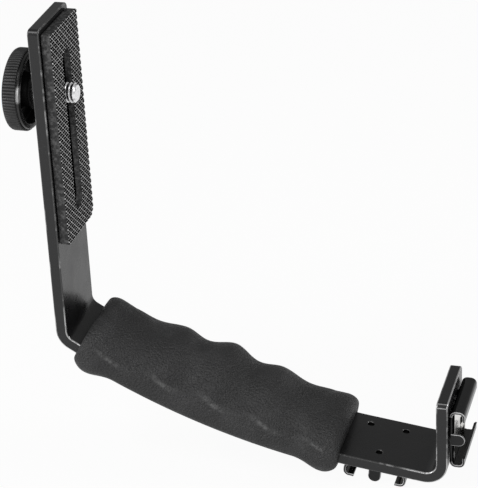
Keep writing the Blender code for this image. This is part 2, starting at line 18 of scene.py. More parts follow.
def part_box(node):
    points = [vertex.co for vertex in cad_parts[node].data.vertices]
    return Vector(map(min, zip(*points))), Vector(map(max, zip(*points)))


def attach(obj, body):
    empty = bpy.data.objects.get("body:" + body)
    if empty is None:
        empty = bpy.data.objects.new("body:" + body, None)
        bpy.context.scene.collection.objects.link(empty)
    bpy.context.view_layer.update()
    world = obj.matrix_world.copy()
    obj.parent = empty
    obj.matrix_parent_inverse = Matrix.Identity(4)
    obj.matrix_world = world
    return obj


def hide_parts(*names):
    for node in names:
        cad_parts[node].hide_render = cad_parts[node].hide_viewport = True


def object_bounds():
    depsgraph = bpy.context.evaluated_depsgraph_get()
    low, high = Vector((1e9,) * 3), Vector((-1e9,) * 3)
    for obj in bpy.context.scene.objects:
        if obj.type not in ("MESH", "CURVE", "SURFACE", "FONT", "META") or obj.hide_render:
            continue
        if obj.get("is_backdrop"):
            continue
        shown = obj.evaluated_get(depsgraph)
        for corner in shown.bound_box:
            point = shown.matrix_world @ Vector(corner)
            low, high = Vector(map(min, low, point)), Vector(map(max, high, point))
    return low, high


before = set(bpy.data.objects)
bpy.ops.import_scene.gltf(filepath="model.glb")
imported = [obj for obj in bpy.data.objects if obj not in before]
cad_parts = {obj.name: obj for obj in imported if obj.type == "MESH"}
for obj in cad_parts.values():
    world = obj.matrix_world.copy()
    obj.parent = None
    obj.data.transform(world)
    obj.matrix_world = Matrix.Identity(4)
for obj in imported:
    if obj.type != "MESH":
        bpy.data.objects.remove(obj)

log = logging.getLogger("flash_bracket")
Test = Callable[[Vector, Vector], bool]
FIT_GAP = 0.0003


class Body(Enum):
    """The bodies that pieces ride on."""

    BRACKET = "bracket"
    GUIDE = "screw_guide"
    CARRIER = "screw_carrier"
    SCREW = "camera_screw_and_knob"


class Slot(Enum):
    """The record's material slots."""

    BAR = "bar_paint"
    SHOE = "shoe_paint"
    PAD = "pad_rubber"
    GRIP = "grip_foam"
    KNOB = "knob_plastic"
    CHROME = "screw_chrome"
    NYLON = "washer_nylon"
    WASHER = "washer_steel"
    SPRING = "spring_nickel"
    FIXING = "fixing_steel"


# Materials


@dataclass(frozen=True)
class Wire:
    """One output socket in a material, which takes part in sums."""

    graph: "Graph"
    socket: bpy.types.NodeSocket

    def math(self, operation: str, other: "Wire | float", turned: bool = False) -> "Wire":
        """Adds a Math node.

        Args:
            operation: The Math node's operation.
            other: The second value.
            turned: Puts the second value first.

        Returns:
            The node's output.
        """
        pair = (other, self) if turned else (self, other)
        return self.graph.add("ShaderNodeMath", {"operation": operation}, {0: pair[0], 1: pair[1]})

    def __add__(self, other: "Wire | float") -> "Wire":
        """Sum."""
        return self.math("ADD", other)

    def __sub__(self, other: "Wire | float") -> "Wire":
        """Difference."""
        return self.math("SUBTRACT", other)

    def __rsub__(self, other: float) -> "Wire":
        """Difference from a number."""
        return self.math("SUBTRACT", other, turned=True)

    def __mul__(self, other: "Wire | float") -> "Wire":
        """Product."""
        return self.math("MULTIPLY", other)

    def __pow__(self, other: "Wire | float") -> "Wire":
        """Power."""
        return self.math("POWER", other)

    __radd__ = __add__
    __rmul__ = __mul__

    def larger(self, other: "Wire | float") -> "Wire":
        """The larger of two values."""
        return self.math("MAXIMUM", other)

    def ramp(self, low: float, high: float, start: float = 0.0, end: float = 1.0) -> "Wire":
        """Maps this value smoothly from one range to another.

        Args:
            low: Value that gives start.
            high: Value that gives end.
            start: Result at low.
            end: Result at high.

        Returns:
            The mapped value.
        """
        values = {"Value": self, "From Min": low, "From Max": high, "To Min": start, "To Max": end}
        return self.graph.add("ShaderNodeMapRange", {"interpolation_type": "SMOOTHSTEP"}, values)


class Graph:
    """The node tree of a material or of the world."""

    def __init__(self, name: str, store: Sequence | None = None) -> None:
        """Starts an empty material with this name, or another owner of nodes from its own store."""
        self.owner = (bpy.data.materials if store is None else store).new(name)
        self.owner.use_nodes = True
        self.tree = self.owner.node_tree
        self.tree.nodes.clear()

    def add(self, kind: str, settings: dict | None = None, values: dict | None = None, output: int | str = 0) -> Wire:
        """Adds any node.

        Args:
            kind: The node's type.
            settings: Attributes of the node, set before its sockets.
            values: Numbers, colours or wires for its inputs, by name or position.
            output: The output that is returned.

        Returns:
            One output of the node.
        """
        node = self.tree.nodes.new(kind)
        for name, value in (settings or {}).items():
            setattr(node, name, value)
        for name, value in (values or {}).items():
            if isinstance(value, Wire):
                self.tree.links.new(value.socket, node.inputs[name])
            else:
                node.inputs[name].default_value = value
        return Wire(self, node.outputs[output]) if node.outputs else None

    def place(self, scale: Sequence[float] = (1, 1, 1), offset: Sequence[float] = (0, 0, 0)) -> Wire:
        """Object coordinates, stretched along the axes and moved by an offset."""
        spot = self.add("ShaderNodeTexCoord", output="Object")
        return self.add("ShaderNodeMapping", {}, {"Vector": spot, "Scale": scale, "Location": offset})

    def along(self, direction: Sequence[float]) -> Wire:
        """Object coordinates measured along a direction."""
        values = {0: self.place(), 1: direction}
        return self.add("ShaderNodeVectorMath", {"operation": "DOT_PRODUCT"}, values, "Value")

    def distance(self, centre: Sequence[float], axes: Sequence[float]) -> Wire:
        """Distance from a point, counting only the axes that are 1."""
        offset = tuple(-value * axis for value, axis in zip(centre, axes))
        values = {0: self.place(axes, offset)}
        return self.add("ShaderNodeVectorMath", {"operation": "LENGTH"}, values, "Value")

    def noise(self, size: float, detail: float = 2, where: Wire | None = None) -> Wire:
        """Noise whose blobs measure about size, in metres."""
        values = {"Vector": where or self.place(), "Scale": 1 / size, "Detail": detail}
        return self.add("ShaderNodeTexNoise", {}, values, "Fac")

    def cells(self, size: float, feature: str, where: Wire | None = None) -> Wire:
        """A cell pattern's distance, with cells of about size, in metres."""
        values = {"Vector": where or self.place(), "Scale": 1 / size}
        return self.add("ShaderNodeTexVoronoi", {"feature": feature}, values, "Distance")

    def blend(self, share: Wire, low: Wire | Sequence[float], high: Sequence[float]) -> Wire:
        """Mixes two colours by a share."""
        values = {0: share, 6: low if isinstance(low, Wire) else (*low, 1), 7: (*high, 1)}
        return self.add("ShaderNodeMix", {"data_type": "RGBA"}, values, 2)

    def bump(self, height: Wire, depth: float, strength: float = 1.0) -> Wire:
        """A normal from a height field whose whole rise is depth, in metres."""
        values = {"Height": height, "Distance": depth, "Strength": strength}
        return self.add("ShaderNodeBump", {}, values)

    def rays(self, camera: float, glossy: float, through: float) -> Wire:
        """A share for rays from the camera, in reflections and through clear things, and 0 for the rest."""
        kinds = {"Is Camera Ray": camera, "Is Glossy Ray": glossy, "Is Transmission Ray": through}
        camera_ray, glossy_ray, clear_ray = (
            self.add("ShaderNodeLightPath", output=kind) * share for kind, share in kinds.items()
        )
        return camera_ray + glossy_ray + clear_ray

    def close(self, shader: Wire, output: str = "ShaderNodeOutputMaterial") -> bpy.types.ID:
        """Joins the shader to the output and returns the material or world."""
        self.add(output, {}, {"Surface": shader})
        return self.owner


@dataclass(frozen=True)
class Finish:
    """What all finishes share.

    Fields: the colour in linear light, the roughness and how metallic it is.
    """

    name: str
    colour: tuple[float, float, float]
    roughness: float
    metallic: float = 0.0
    specular_index: float = 1.5

    def shade(self, graph: Graph) -> dict[str, Wire]:
        """The inputs that vary over the surface, by socket name."""
        return {}

    def material(self) -> bpy.types.Material:
        """The finish's material, made once."""
        known = bpy.data.materials.get(self.name)
        if known:
            return known
        graph = Graph(self.name)
        values = {
            "Base Color": (*self.colour, 1),
            "Roughness": self.roughness,
            "Metallic": self.metallic,
            "IOR": self.specular_index,
        }
        values.update(self.shade(graph))
        return graph.close(graph.add("ShaderNodeBsdfPrincipled", {}, values))


@dataclass(frozen=True)
class Paint(Finish):
    """Baked black paint: a fine orange peel, a little dust and faint rubbed patches."""

    peel_size: float = 0.0009
    peel_depth: float = 0.00001
    dent_depth: float = 0.00005
    dust: tuple[float, float, float] = (0.1, 0.1, 0.1)

    def shade(self, graph: Graph) -> dict[str, Wire]:
        """Dust on the colour, rubbed patches in the gloss and peel in the normal."""
        specks = graph.noise(0.00035, 1).ramp(0.72, 0.8, 0, 0.55) * graph.noise(0.012).ramp(0.42, 0.62)
        rubbed = graph.noise(0.009, 4).ramp(0.3, 0.75, -0.03, 0.06)
        peel = graph.noise(self.peel_size, 1) * self.peel_depth
        dents = graph.noise(0.0045, 2) * self.dent_depth
        return {
            "Base Color": graph.blend(specks, self.colour, self.dust),
            "Roughness": rubbed + self.roughness,
            "Normal": graph.bump(peel + dents, 1.0),
        }


@dataclass(frozen=True)
class Rubber(Finish):
    """Moulded rubber with a dull, slightly dusty face."""

    grain_size: float = 0.00025
    grain_depth: float = 0.00002
    patch_size: float = 0.004
    dust: tuple[float, float, float] = (0.05, 0.05, 0.05)

    def shade(self, graph: Graph) -> dict[str, Wire]:
        """Dust in broad patches and a fine grain."""
        patches = graph.noise(self.patch_size, 4).ramp(0.4, 0.7, 0, 0.6)
        grain = graph.noise(self.grain_size, 2)
        return {
            "Base Color": graph.blend(patches, self.colour, self.dust),
            "Roughness": grain.ramp(0.3, 0.7, self.roughness - 0.08, self.roughness + 0.08),
            "Normal": graph.bump(grain, self.grain_depth),
        }


@dataclass(frozen=True)
class RidgedRubber(Rubber):
    """The pad's face: light lines in two directions over its small diamonds, painted highlights along the diamonds'
    rims.
    """

    centre: tuple[float, float, float] = (0, 0, 0)
    lines_a_metre: tuple[tuple[float, float, float], ...] = ((1047, 855, 925), (-1085, 0, 925))
    half_lines: tuple[float, ...] = (0.085, 0.055)
    faint: tuple[float, ...] = (0.15, 1.0)
    pale: tuple[float, float, float] = (0.8, 0.8, 0.8)

    def shade(self, graph: Graph) -> dict[str, Wire]:
        """Two families of lines over the rubber's own dust and grain."""
        lines = None
        for rate, half_line, faint in zip(self.lines_a_metre, self.half_lines, self.faint):
            start = sum(value * place for value, place in zip(rate, self.centre))
            phase = graph.along(rate) - start
            line = phase.math("PINGPONG", 0.5).ramp(0.48 - half_line, 0.52 - half_line)
            if faint < 1:
                line = line * (phase * 0.5 + 0.25).math("PINGPONG", 0.5).ramp(0.1, 0.4, faint, 1)
            lines = line if lines is None else lines.larger(line)
        # Painted highlight: light lines where the diamonds' rims catch light, broken up by noise.
        worn = lines * graph.noise(0.0018, 3).ramp(0.25, 0.65, 0.5, 1)
        found = super().shade(graph)
        found["Base Color"] = graph.blend(worn, self.colour, self.pale)
        return found


@dataclass(frozen=True)
class WornEdge(Finish):
    """Rims with paint rubbed thin to bright steel, plus painted highlights of steel colour round listed spots, such as
    inside each bend.
    """

    steel: tuple[float, float, float] = (0.5, 0.5, 0.5)
    least: float = 0.05
    wear: float = 0.44
    worn_from: float = 0.5
    shine: float = 0.8
    # Spots round which the rim is painted bright as a highlight.
    highlight_spots: tuple[tuple[float, float, float], ...] = ()
    reach: float = 0.011

    def shade(self, graph: Graph) -> dict[str, Wire]:
        """Bare steel by noise, and a painted highlight of steel colour round each spot."""
        broken = graph.noise(0.0035, 4)
        bare = broken.ramp(self.worn_from, 0.68, self.least, self.least + self.wear)
        # Painted highlight of steel colour round each spot.
        for bend in self.highlight_spots:
            near = graph.distance(bend, (1, 0, 1)).ramp(self.reach * 0.5, self.reach, 1, 0)
            bare = bare.larger(near * broken.ramp(0.3, 0.5, 0.25, 0.9))
        return {
            "Base Color": graph.blend(bare, self.colour, self.steel),
            "Metallic": bare * self.shine,
            "Normal": graph.bump(broken, 0.00001),
        }


@dataclass(frozen=True)
class Foam(Finish):
    """Moulded foam with a skin of fine leather grain."""

    grain_size: float = 0.0007
    grain_depth: float = 0.00028
    worn: tuple[float, float, float] = (0.055, 0.055, 0.056)
    # Colour of the painted highlight on the front crest.
    rubbed: tuple[float, float, float] = (0.085, 0.085, 0.085)

    def shade(self, graph: Graph) -> dict[str, Wire]:
        """Grain cells with soft creases, paler worn patches, a painted highlight on the front crest between finger
        hollows and uneven gloss.
        """
        shift = graph.add("ShaderNodeTexNoise", {}, {"Vector": graph.place(), "Scale": 700, "Detail": 2}, "Color")
        spot = graph.add(
            "ShaderNodeVectorMath",
            {"operation": "MULTIPLY_ADD"},
            {0: shift, 1: (0.0006, 0.0006, 0.0006), 2: graph.place()},
        )
        pebbles = graph.cells(self.grain_size, "F1", spot)
        creases = graph.cells(self.grain_size * 2.6, "DISTANCE_TO_EDGE", spot).ramp(0, 0.12)
        pores = graph.noise(0.0003, 2)
        height = (1 - pebbles) + creases * 0.25 + pores * 0.5
        worn = graph.noise(0.011, 5).ramp(0.45, 0.75, 0, 0.3) + pores.ramp(0.4, 0.7, 0, 0.4)
        # Painted highlight: the grip's crest attribute lightens the front crest between finger hollows.
        crest_highlight = graph.add("ShaderNodeAttribute", {"attribute_name": "crest_highlight"}, output="Fac")
        crest_highlight = crest_highlight * graph.noise(0.0013, 3).ramp(0.35, 0.6, 0.25, 1)
        skin = graph.blend(worn, self.colour, self.worn)
        return {
            "Base Color": graph.blend(crest_highlight, skin, self.rubbed),
            "Roughness": graph.noise(0.006, 4).ramp(0.3, 0.7, self.roughness - 0.06, self.roughness + 0.08),
            "Normal": graph.bump(height, self.grain_depth),
        }


@dataclass(frozen=True)
class Plastic(Finish):
    """Moulded plastic with a fine spark-eroded texture."""

    grain_size: float = 0.0002
    grain_depth: float = 0.000012

    def shade(self, graph: Graph) -> dict[str, Wire]:
        """A fine grain and slightly glossier patches from fingers."""
        grain = graph.noise(self.grain_size, 2)
        touched = graph.noise(0.005, 3).ramp(0.35, 0.7, self.roughness + 0.05, self.roughness - 0.08)
        tone = tuple(channel * 1.9 for channel in self.colour)
        return {
            "Base Color": graph.blend(graph.noise(0.003, 4).ramp(0.4, 0.75), self.colour, tone),
            "Roughness": touched,
            "Normal": graph.bump(grain, self.grain_depth),
        }


@dataclass(frozen=True)
class ThreadChrome(Finish):
    """Bright plating on a screw, with painted shade in the roots of its thread and patches of black grease."""

    centre: tuple[float, float, float] = (0, 0, 0)
    root: float = 0.0026
    crest: float = 0.003
    thread: tuple[float, float] = (0.0021, 0.0056)
    grease: tuple[float, float, float] = (0.004, 0.004, 0.004)

    def shade(self, graph: Graph) -> dict[str, Wire]:
        """Painted shade towards the thread's roots by the distance from the screw's axis, grease patches by noise and
        a light wear in the plating.
        """
        radius = graph.distance(self.centre, (0, 1, 1))
        along = graph.along((1, 0, 0)) - self.centre[0]
        start, end = self.thread
        # Painted shade: darker towards the thread's roots.
        grease_and_root_shade = radius.ramp(self.root, self.crest, 1, 0) * along.ramp(start, start + 0.0001)
        grease_and_root_shade = grease_and_root_shade * along.ramp(end - 0.0001, end, 1, 0)
        wear = graph.noise(0.0006, 3)
        grease_and_root_shade = grease_and_root_shade.larger(graph.noise(0.0011, 3).ramp(0.58, 0.68, 0, 0.6))
        return {
            "Base Color": graph.blend(grease_and_root_shade, self.colour, self.grease),
            "Roughness": grease_and_root_shade * 0.4 + wear.ramp(0.3, 0.7, self.roughness * 0.6, self.roughness * 1.6),
            "Normal": graph.bump(wear, 0.000008),
        }


@dataclass(frozen=True)
class Metal(Finish):
    """Plated or blackened steel with fine scratches along one axis."""

    scratch_axis: int = 0
    scratch_depth: float = 0.000006
    tarnish: tuple[float, float, float] = (0.4, 0.39, 0.38)

    def shade(self, graph: Graph) -> dict[str, Wire]:
        """Drawn scratches, faint tarnish and uneven polish."""
        stretch = [1.0, 1.0, 1.0]
        stretch[self.scratch_axis] = 0.06
        scratches = graph.noise(0.0002, 3, graph.place(stretch))
        spots = graph.noise(0.0016, 4).ramp(0.5, 0.75, 0, 0.5)
        return {
            "Base Color": graph.blend(spots, self.colour, self.tarnish),
            "Roughness": scratches.ramp(0.3, 0.7, self.roughness * 0.7, self.roughness * 1.4),
            "Normal": graph.bump(scratches, self.scratch_depth),
        }


BAR_PAINT = Paint("bar paint", (0.008, 0.008, 0.0084), 0.27, specular_index=1.47)
# Painted shade for hole walls and for screw ends seen down the holes.
HOLE_SHADE = Paint("hole wall painted shade", (0.002, 0.002, 0.002), 0.6, specular_index=1.2)
SHOE_PAINT = Paint("shoe paint", (0.0045, 0.0045, 0.0047), 0.13, specular_index=1.38, peel_depth=0.000004)
# Rims painted light at the shoes' ends: partly worn paint, partly painted highlight.
SHOE_RIM_HIGHLIGHT = WornEdge("shoe rim with painted highlight", (0.03, 0.03, 0.03), 0.3, specular_index=1.6, steel=(0.75, 0.75, 0.75), least=0.34, worn_from=0.35, shine=0.1)
# Rims of the bar's screw holes: partly worn paint, partly painted highlight.
HOLE_RIM_HIGHLIGHT = WornEdge("hole rim with painted highlight", (0.02, 0.02, 0.02), 0.3, steel=(0.4, 0.4, 0.4), least=0.08, shine=0.3)
# Near-black finish for the spring's front-facing faces.
DARK_SPRING_EDGE = WornEdge("dark spring front edge", (0.012, 0.012, 0.012), 0.35, specular_index=1.3, least=0.0)
PAD_RUBBER = Rubber("pad rubber", (0.004, 0.004, 0.004), 0.8, specular_index=1.25, dust=(0.008, 0.008, 0.008))
PAD_SIDE = Rubber(
    "pad side",
    (0.017, 0.017, 0.0173),
    0.7,
    specular_index=1.35,
    grain_size=0.0007,
    grain_depth=0.00015,
    patch_size=0.0011,
    dust=(0.11, 0.11, 0.11),
)
GRIP_FOAM = Foam("grip foam", (0.016, 0.016, 0.0162), 0.55, specular_index=1.38)
KNOB_PLASTIC = Plastic("knob plastic", (0.011, 0.011, 0.0112), 0.46, specular_index=1.4)
# Painted shade for the inside of the knob's cup.
KNOB_HOLLOW_SHADE = Plastic("knob hollow painted shade", (0.003, 0.003, 0.003), 0.5, specular_index=1.2)
NYLON = Plastic("black nylon", (0.01, 0.01, 0.01), 0.45, specular_index=1.4)
NICKEL = Metal("spring nickel", (0.78, 0.77, 0.74), 0.12, 1.0, scratch_axis=1)
BLACK_STEEL = Metal("black steel", (0.005, 0.005, 0.005), 0.6, 0.1, specular_index=1.25, tarnish=(0.009, 0.009, 0.009))
OXIDE = Metal("black oxide steel", (0.012, 0.012, 0.013), 0.45, 0.2, specular_index=1.4, tarnish=(0.03, 0.027, 0.025))


# Modelling


class Shaper:
    """One mesh object that operators shape, with its faces, edges and points picked in code."""

    def __init__(self, piece: bpy.types.Object, name: str) -> None:
        """Takes over a new primitive and names it."""
        piece.name = name
        piece.data.name = name
        self.piece = piece

    @classmethod
    def start(cls, name: str, primitive: Callable, scale: Sequence[float] = (1, 1, 1), **settings) -> "Shaper":
        """Adds a primitive with nothing else selected.

        Args:
            name: The piece's name.
            primitive: One of Blender's mesh primitives.
            scale: Its size along each axis, where one number isn't enough.
            settings: The primitive's own sizes and place.

        Returns:
            The new piece's shaper.
        """
        if bpy.context.object and bpy.context.object.mode != "OBJECT":
            bpy.ops.object.mode_set(mode="OBJECT")
        bpy.ops.object.select_all(action="DESELECT")
        primitive(**settings)
        piece = bpy.context.active_object
        piece.scale = scale
        return cls(piece, name)

    def hold(self) -> None:
        """Makes this piece the only one that operators act on."""
        if bpy.context.object and bpy.context.object.mode != "OBJECT":
            bpy.ops.object.mode_set(mode="OBJECT")
        bpy.ops.object.select_all(action="DESELECT")
        self.piece.select_set(True)
        bpy.context.view_layer.objects.active = self.piece

    def edit(self, mode: str = "FACE") -> bmesh.types.BMesh:
        """Opens edit mode on this piece and returns its mesh."""
        self.hold()
        bpy.ops.object.mode_set(mode="EDIT")
        bpy.ops.mesh.select_mode(type=mode)
        return bmesh.from_edit_mesh(self.piece.data)

    def close(self) -> "Shaper":
        """Leaves edit mode."""
        bpy.ops.object.mode_set(mode="OBJECT")
        return self

    def pick_faces(self, test: Test) -> int:
        """Selects the faces whose middle and normal pass a test.

        Args:
            test: Takes a face's middle and normal.

        Returns:
            How many faces are selected.
        """
        bm = self.edit("FACE")
        for face in bm.faces:
            face.select_set(False)
        chosen = [face for face in bm.faces if test(face.calc_center_median(), face.normal)]
        for face in chosen:
            face.select_set(True)
        bmesh.update_edit_mesh(self.piece.data)
        return len(chosen)

    def pick_edges(self, test: Test) -> int:
        """Selects the edges whose middle and direction pass a test.

        Args:
            test: Takes an edge's middle and its vector from end to end.

        Returns:
            How many edges are selected.
        """
        bm = self.edit("EDGE")
        for edge in bm.edges:
            edge.select_set(False)
        chosen = []
        for edge in bm.edges:
            first, second = (vertex.co for vertex in edge.verts)
            if test((first + second) / 2, second - first):
                chosen.append(edge)
        for edge in chosen:
            edge.select_set(True)
        bmesh.update_edit_mesh(self.piece.data)
        return len(chosen)

    def pick_sharp(self, degrees: float, test: Test = lambda middle, run: True) -> int:
        """Selects the edges that turn by more than an angle and pass a test."""
        sharp = set()
        for edge in self.edit("EDGE").edges:
            if len(edge.link_faces) == 2 and edge.calc_face_angle() > math.radians(degrees):
                sharp.add(tuple(round(value, 7) for value in (edge.verts[0].co + edge.verts[1].co) / 2))
        return self.pick_edges(lambda middle, run: tuple(round(v, 7) for v in middle) in sharp and test(middle, run))

    def extrude(self, offset: Vector) -> "Shaper":
        """Pushes the selected faces out by an offset."""
        bpy.ops.mesh.extrude_region_move(TRANSFORM_OT_translate={"value": offset})
        return self

    def spin(self, degrees: float, centre: Vector, axis: Vector, steps: int) -> "Shaper":
        """Sweeps the selected faces round an axis, counter-clockwise where the axis points at the eye."""
        bpy.ops.mesh.spin(steps=steps, angle=-math.radians(degrees), center=centre, axis=axis)
        return self

    def bevel(self, width: float, steps: int, slot: int = -1) -> "Shaper":
        """Rounds the selected edges and gives the new faces a material slot."""
        bpy.ops.mesh.bevel(offset=width, segments=steps, profile=0.5, affect="EDGES", material=slot)
        return self

    def tidy(self) -> "Shaper":
        """Merges doubles and turns all faces outwards."""
        self.edit("FACE")
        bpy.ops.mesh.select_all(action="SELECT")
        bpy.ops.mesh.remove_doubles(threshold=0.000002)
        bpy.ops.mesh.normals_make_consistent(inside=False)
        return self.close()

    def reshape(self, move: Callable[[Vector], Vector]) -> "Shaper":
        """Moves every point to where a function puts it."""
        for vertex in self.piece.data.vertices:
            vertex.co = move(vertex.co.copy())
        return self

    def modify(self, kind: str, **settings) -> "Shaper":
        """Adds a modifier and applies it.

        Args:
            kind: The modifier's type.
            settings: The modifier's settings.

        Returns:
            This shaper.
        """
        self.hold()
        modifier = self.piece.modifiers.new(kind.lower(), kind)
        for name, value in settings.items():
            setattr(modifier, name, value)
        bpy.ops.object.modifier_apply(modifier=modifier.name)
        return self

    def combine(self, tool: "Shaper", operation: str = "DIFFERENCE", keep: bool = False) -> "Shaper":
        """Cuts with, joins or crosses another piece.

        Args:
            tool: The other piece.
            operation: DIFFERENCE, UNION or INTERSECT.
            keep: Leaves the other piece in the scene.

        Returns:
            This shaper.
        """
        self.modify("BOOLEAN", operation=operation, solver="EXACT", material_mode="TRANSFER", object=tool.piece)
        if not keep:
            bpy.data.objects.remove(tool.piece, do_unlink=True)
        return self

    def settle(self, place: Matrix | None = None) -> "Shaper":
        """Puts the piece's place, and an added one, into its mesh."""
        self.hold()
        if place is not None:
            self.piece.matrix_world = place @ self.piece.matrix_world
        bpy.ops.object.transform_apply(location=True, rotation=True, scale=True)
        return self

    def copy(self, name: str) -> "Shaper":
        """A copy with a mesh of its own."""
        twin = self.piece.copy()
        twin.data = self.piece.data.copy()
        bpy.context.scene.collection.objects.link(twin)
        return Shaper(twin, name)

    def soften(self, degrees: float = 35) -> "Shaper":
        """Shades smooth, apart from edges sharper than an angle."""
        self.hold()
        bpy.ops.object.shade_smooth_by_angle(angle=math.radians(degrees))
        return self

    def flatten(self) -> "Shaper":
        """Lets large faces keep their own normal, so that only the bevels look round."""
        return self.modify("WEIGHTED_NORMAL", weight=100, keep_sharp=True)

    def dress(self, *finishes: Finish) -> "Shaper":
        """Gives the piece its materials, the first one to all faces."""
        self.piece.data.materials.clear()
        for finish in finishes:
            self.piece.data.materials.append(finish.material())
        return self

    def stand_for(self, body: Body, slot: Slot, *nodes: str) -> None:
        """Hands the piece to the frame.

        Args:
            body: The body that it rides on.
            slot: Its material slot, which is not used.
            nodes: The nodes that it replaces.
        """
        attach(self.piece, body.value)
        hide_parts(*nodes)
        log.info("%s: %d faces, for %s", self.piece.name, len(self.piece.data.polygons), ", ".join(nodes))


def turned(name: str, rings: Sequence[tuple[float, float]], points: int, hollow: bool = False) -> Shaper:
    """A body turned round the X axis.

    Args:
        name: The piece's name.
        rings: Place along X and radius of each ring.
        points: Points a ring.
        hollow: Joins the last ring to the first instead of closing both ends.

    Returns:
        The piece's shaper.
    """
    start, radius = rings[0]
    piece = Shaper.start(
        name,
        bpy.ops.mesh.primitive_circle_add,
        vertices=points,
        radius=radius,
        location=(start, 0, 0),
        rotation=(0, math.pi / 2, 0),
        fill_type="NOTHING" if hollow else "NGON",
    ).settle()
    piece.edit("EDGE" if hollow else "FACE")
    bpy.ops.mesh.select_all(action="SELECT")
    for (place, size), (next_place, next_size) in zip(rings, rings[1:]):
        piece.extrude(Vector((next_place - place, 0, 0)))
        if next_size != size:
            ratio = next_size / size
            bpy.ops.transform.resize(value=(1, ratio, ratio), center_override=(next_place, 0, 0))
    if hollow:
        bpy.ops.mesh.select_all(action="DESELECT")
        bpy.ops.mesh.select_non_manifold()
        bpy.ops.mesh.bridge_edge_loops()
    return piece.tidy()


def capsule(name: str, low: float, high: float, radius: float, span: tuple[float, float]) -> Shaper:
    """A cutter with round ends that stands upright in the arm and runs through it along X.

    Args:
        name: The cutter's name.
        low: Height of its lower round's centre.
        high: Height of its upper round's centre.
        radius: Half its width.
        span: Where it starts and ends along X.

    Returns:
        The cutter's shaper.
    """
    tool = Shaper.start(
        name,
        bpy.ops.mesh.primitive_cube_add,
        size=1,
        location=((span[0] + span[1]) / 2, 0, (low + high) / 2),
        scale=(span[1] - span[0], 2 * radius, high - low + 2 * radius),
    ).settle()
    tool.pick_edges(lambda middle, run: abs(run.x) > abs(run.y) + abs(run.z))
    return tool.bevel(radius * 0.9999, 20).tidy()


# The bracket's line


@dataclass(frozen=True)
class BracketLine:
    """The flat bar's path: its straight and bent stretches, from the arm's top to the flange's end."""

    width: float = 0.0254
    thickness: float = 0.0037
    bend_inner: float = 0.0034
    arm: float = 0.10345
    bow_radius: float = 0.235
    bow_length: float = 0.1002
    end_angle: float = math.radians(7.0)
    end: float = 0.02151
    flange: float = 0.02237

    @property
    def bend_radius(self) -> float:
        """Radius of a tight bend's middle line."""
        return self.bend_inner + self.thickness / 2

    @property
    def bow_start(self) -> float:
        """Slope of the bow where it leaves the first bend."""
        return self.end_angle + self.bow_length / self.bow_radius

    def stretches(self) -> dict[str, tuple[float, float]]:
        """Length and radius of each stretch in order, with radius 0 where it is straight."""
        first, second = math.pi / 2 - self.bow_start, math.pi / 2 + self.end_angle
        return {
            "arm": (self.arm, 0),
            "first bend": (self.bend_radius * first, self.bend_radius),
            "bow": (self.bow_length, self.bow_radius),
            "end": (self.end, 0),
            "second bend": (self.bend_radius * second, self.bend_radius),
            "flange": (self.flange, 0),
        }

    def station(self, stretch: str, along: float) -> tuple[float, float, float]:
        """Place and heading of the bar's middle line.

        Args:
            stretch: The stretch's name.
            along: The distance from the stretch's start.

        Returns:
            X, Z and the angle above +X.
        """
        x, z, heading = -self.thickness / 2, self.arm, -math.pi / 2
        for name, (length, radius) in self.stretches().items():
            distance = along if name == stretch else length
            if radius:
                after = heading + distance / radius
                x += radius * (math.sin(after) - math.sin(heading))
                z -= radius * (math.cos(after) - math.cos(heading))
                heading = after
            else:
                x += distance * math.cos(heading)
                z += distance * math.sin(heading)
            if name == stretch:
                break
        return x, z, heading

    def surface(self, stretch: str, along: float, side: int) -> Matrix:
        """A matrix on the bar's face, with Y across the bar and Z away from it; side is 1 inside."""
        x, z, heading = self.station(stretch, along)
        outward = Vector((-math.sin(heading), 0, math.cos(heading))) * side
        depth = Vector((0, 1, 0))
        turn = Matrix((depth.cross(outward), depth, outward)).transposed().to_4x4()
        return Matrix.Translation(Vector((x, 0, z)) + outward * self.thickness / 2) @ turn


@dataclass(frozen=True)
class PadSizes:
    """The camera pad and the slot through it and the arm."""

    width: float = 0.0231
    length: float = 0.0707
    thickness: float = 0.0031
    setback: float = 0.0017
    corner: float = 0.0008
    trimmed: float = 0.0034
    slot_width: float = 0.0069
    slot_rise: float = 0.01135
    slot_drop: float = 0.01235
    screw_drop: float = 0.01095
    channel_radius: float = 0.0055
    channel_depth: float = 0.0012

    def top(self, line: BracketLine) -> float:
        """Height of the pad's upper end."""
        return line.arm - self.setback

    def slot(self, line: BracketLine) -> tuple[float, float]:
        """Heights of the slot's two round ends."""
        return self.top(line) - self.length + self.slot_rise, self.top(line) - self.slot_drop

    def screw_height(self, line: BracketLine) -> float:
        """Height of the camera screw at rest."""
        return self.slot(line)[1] - self.screw_drop


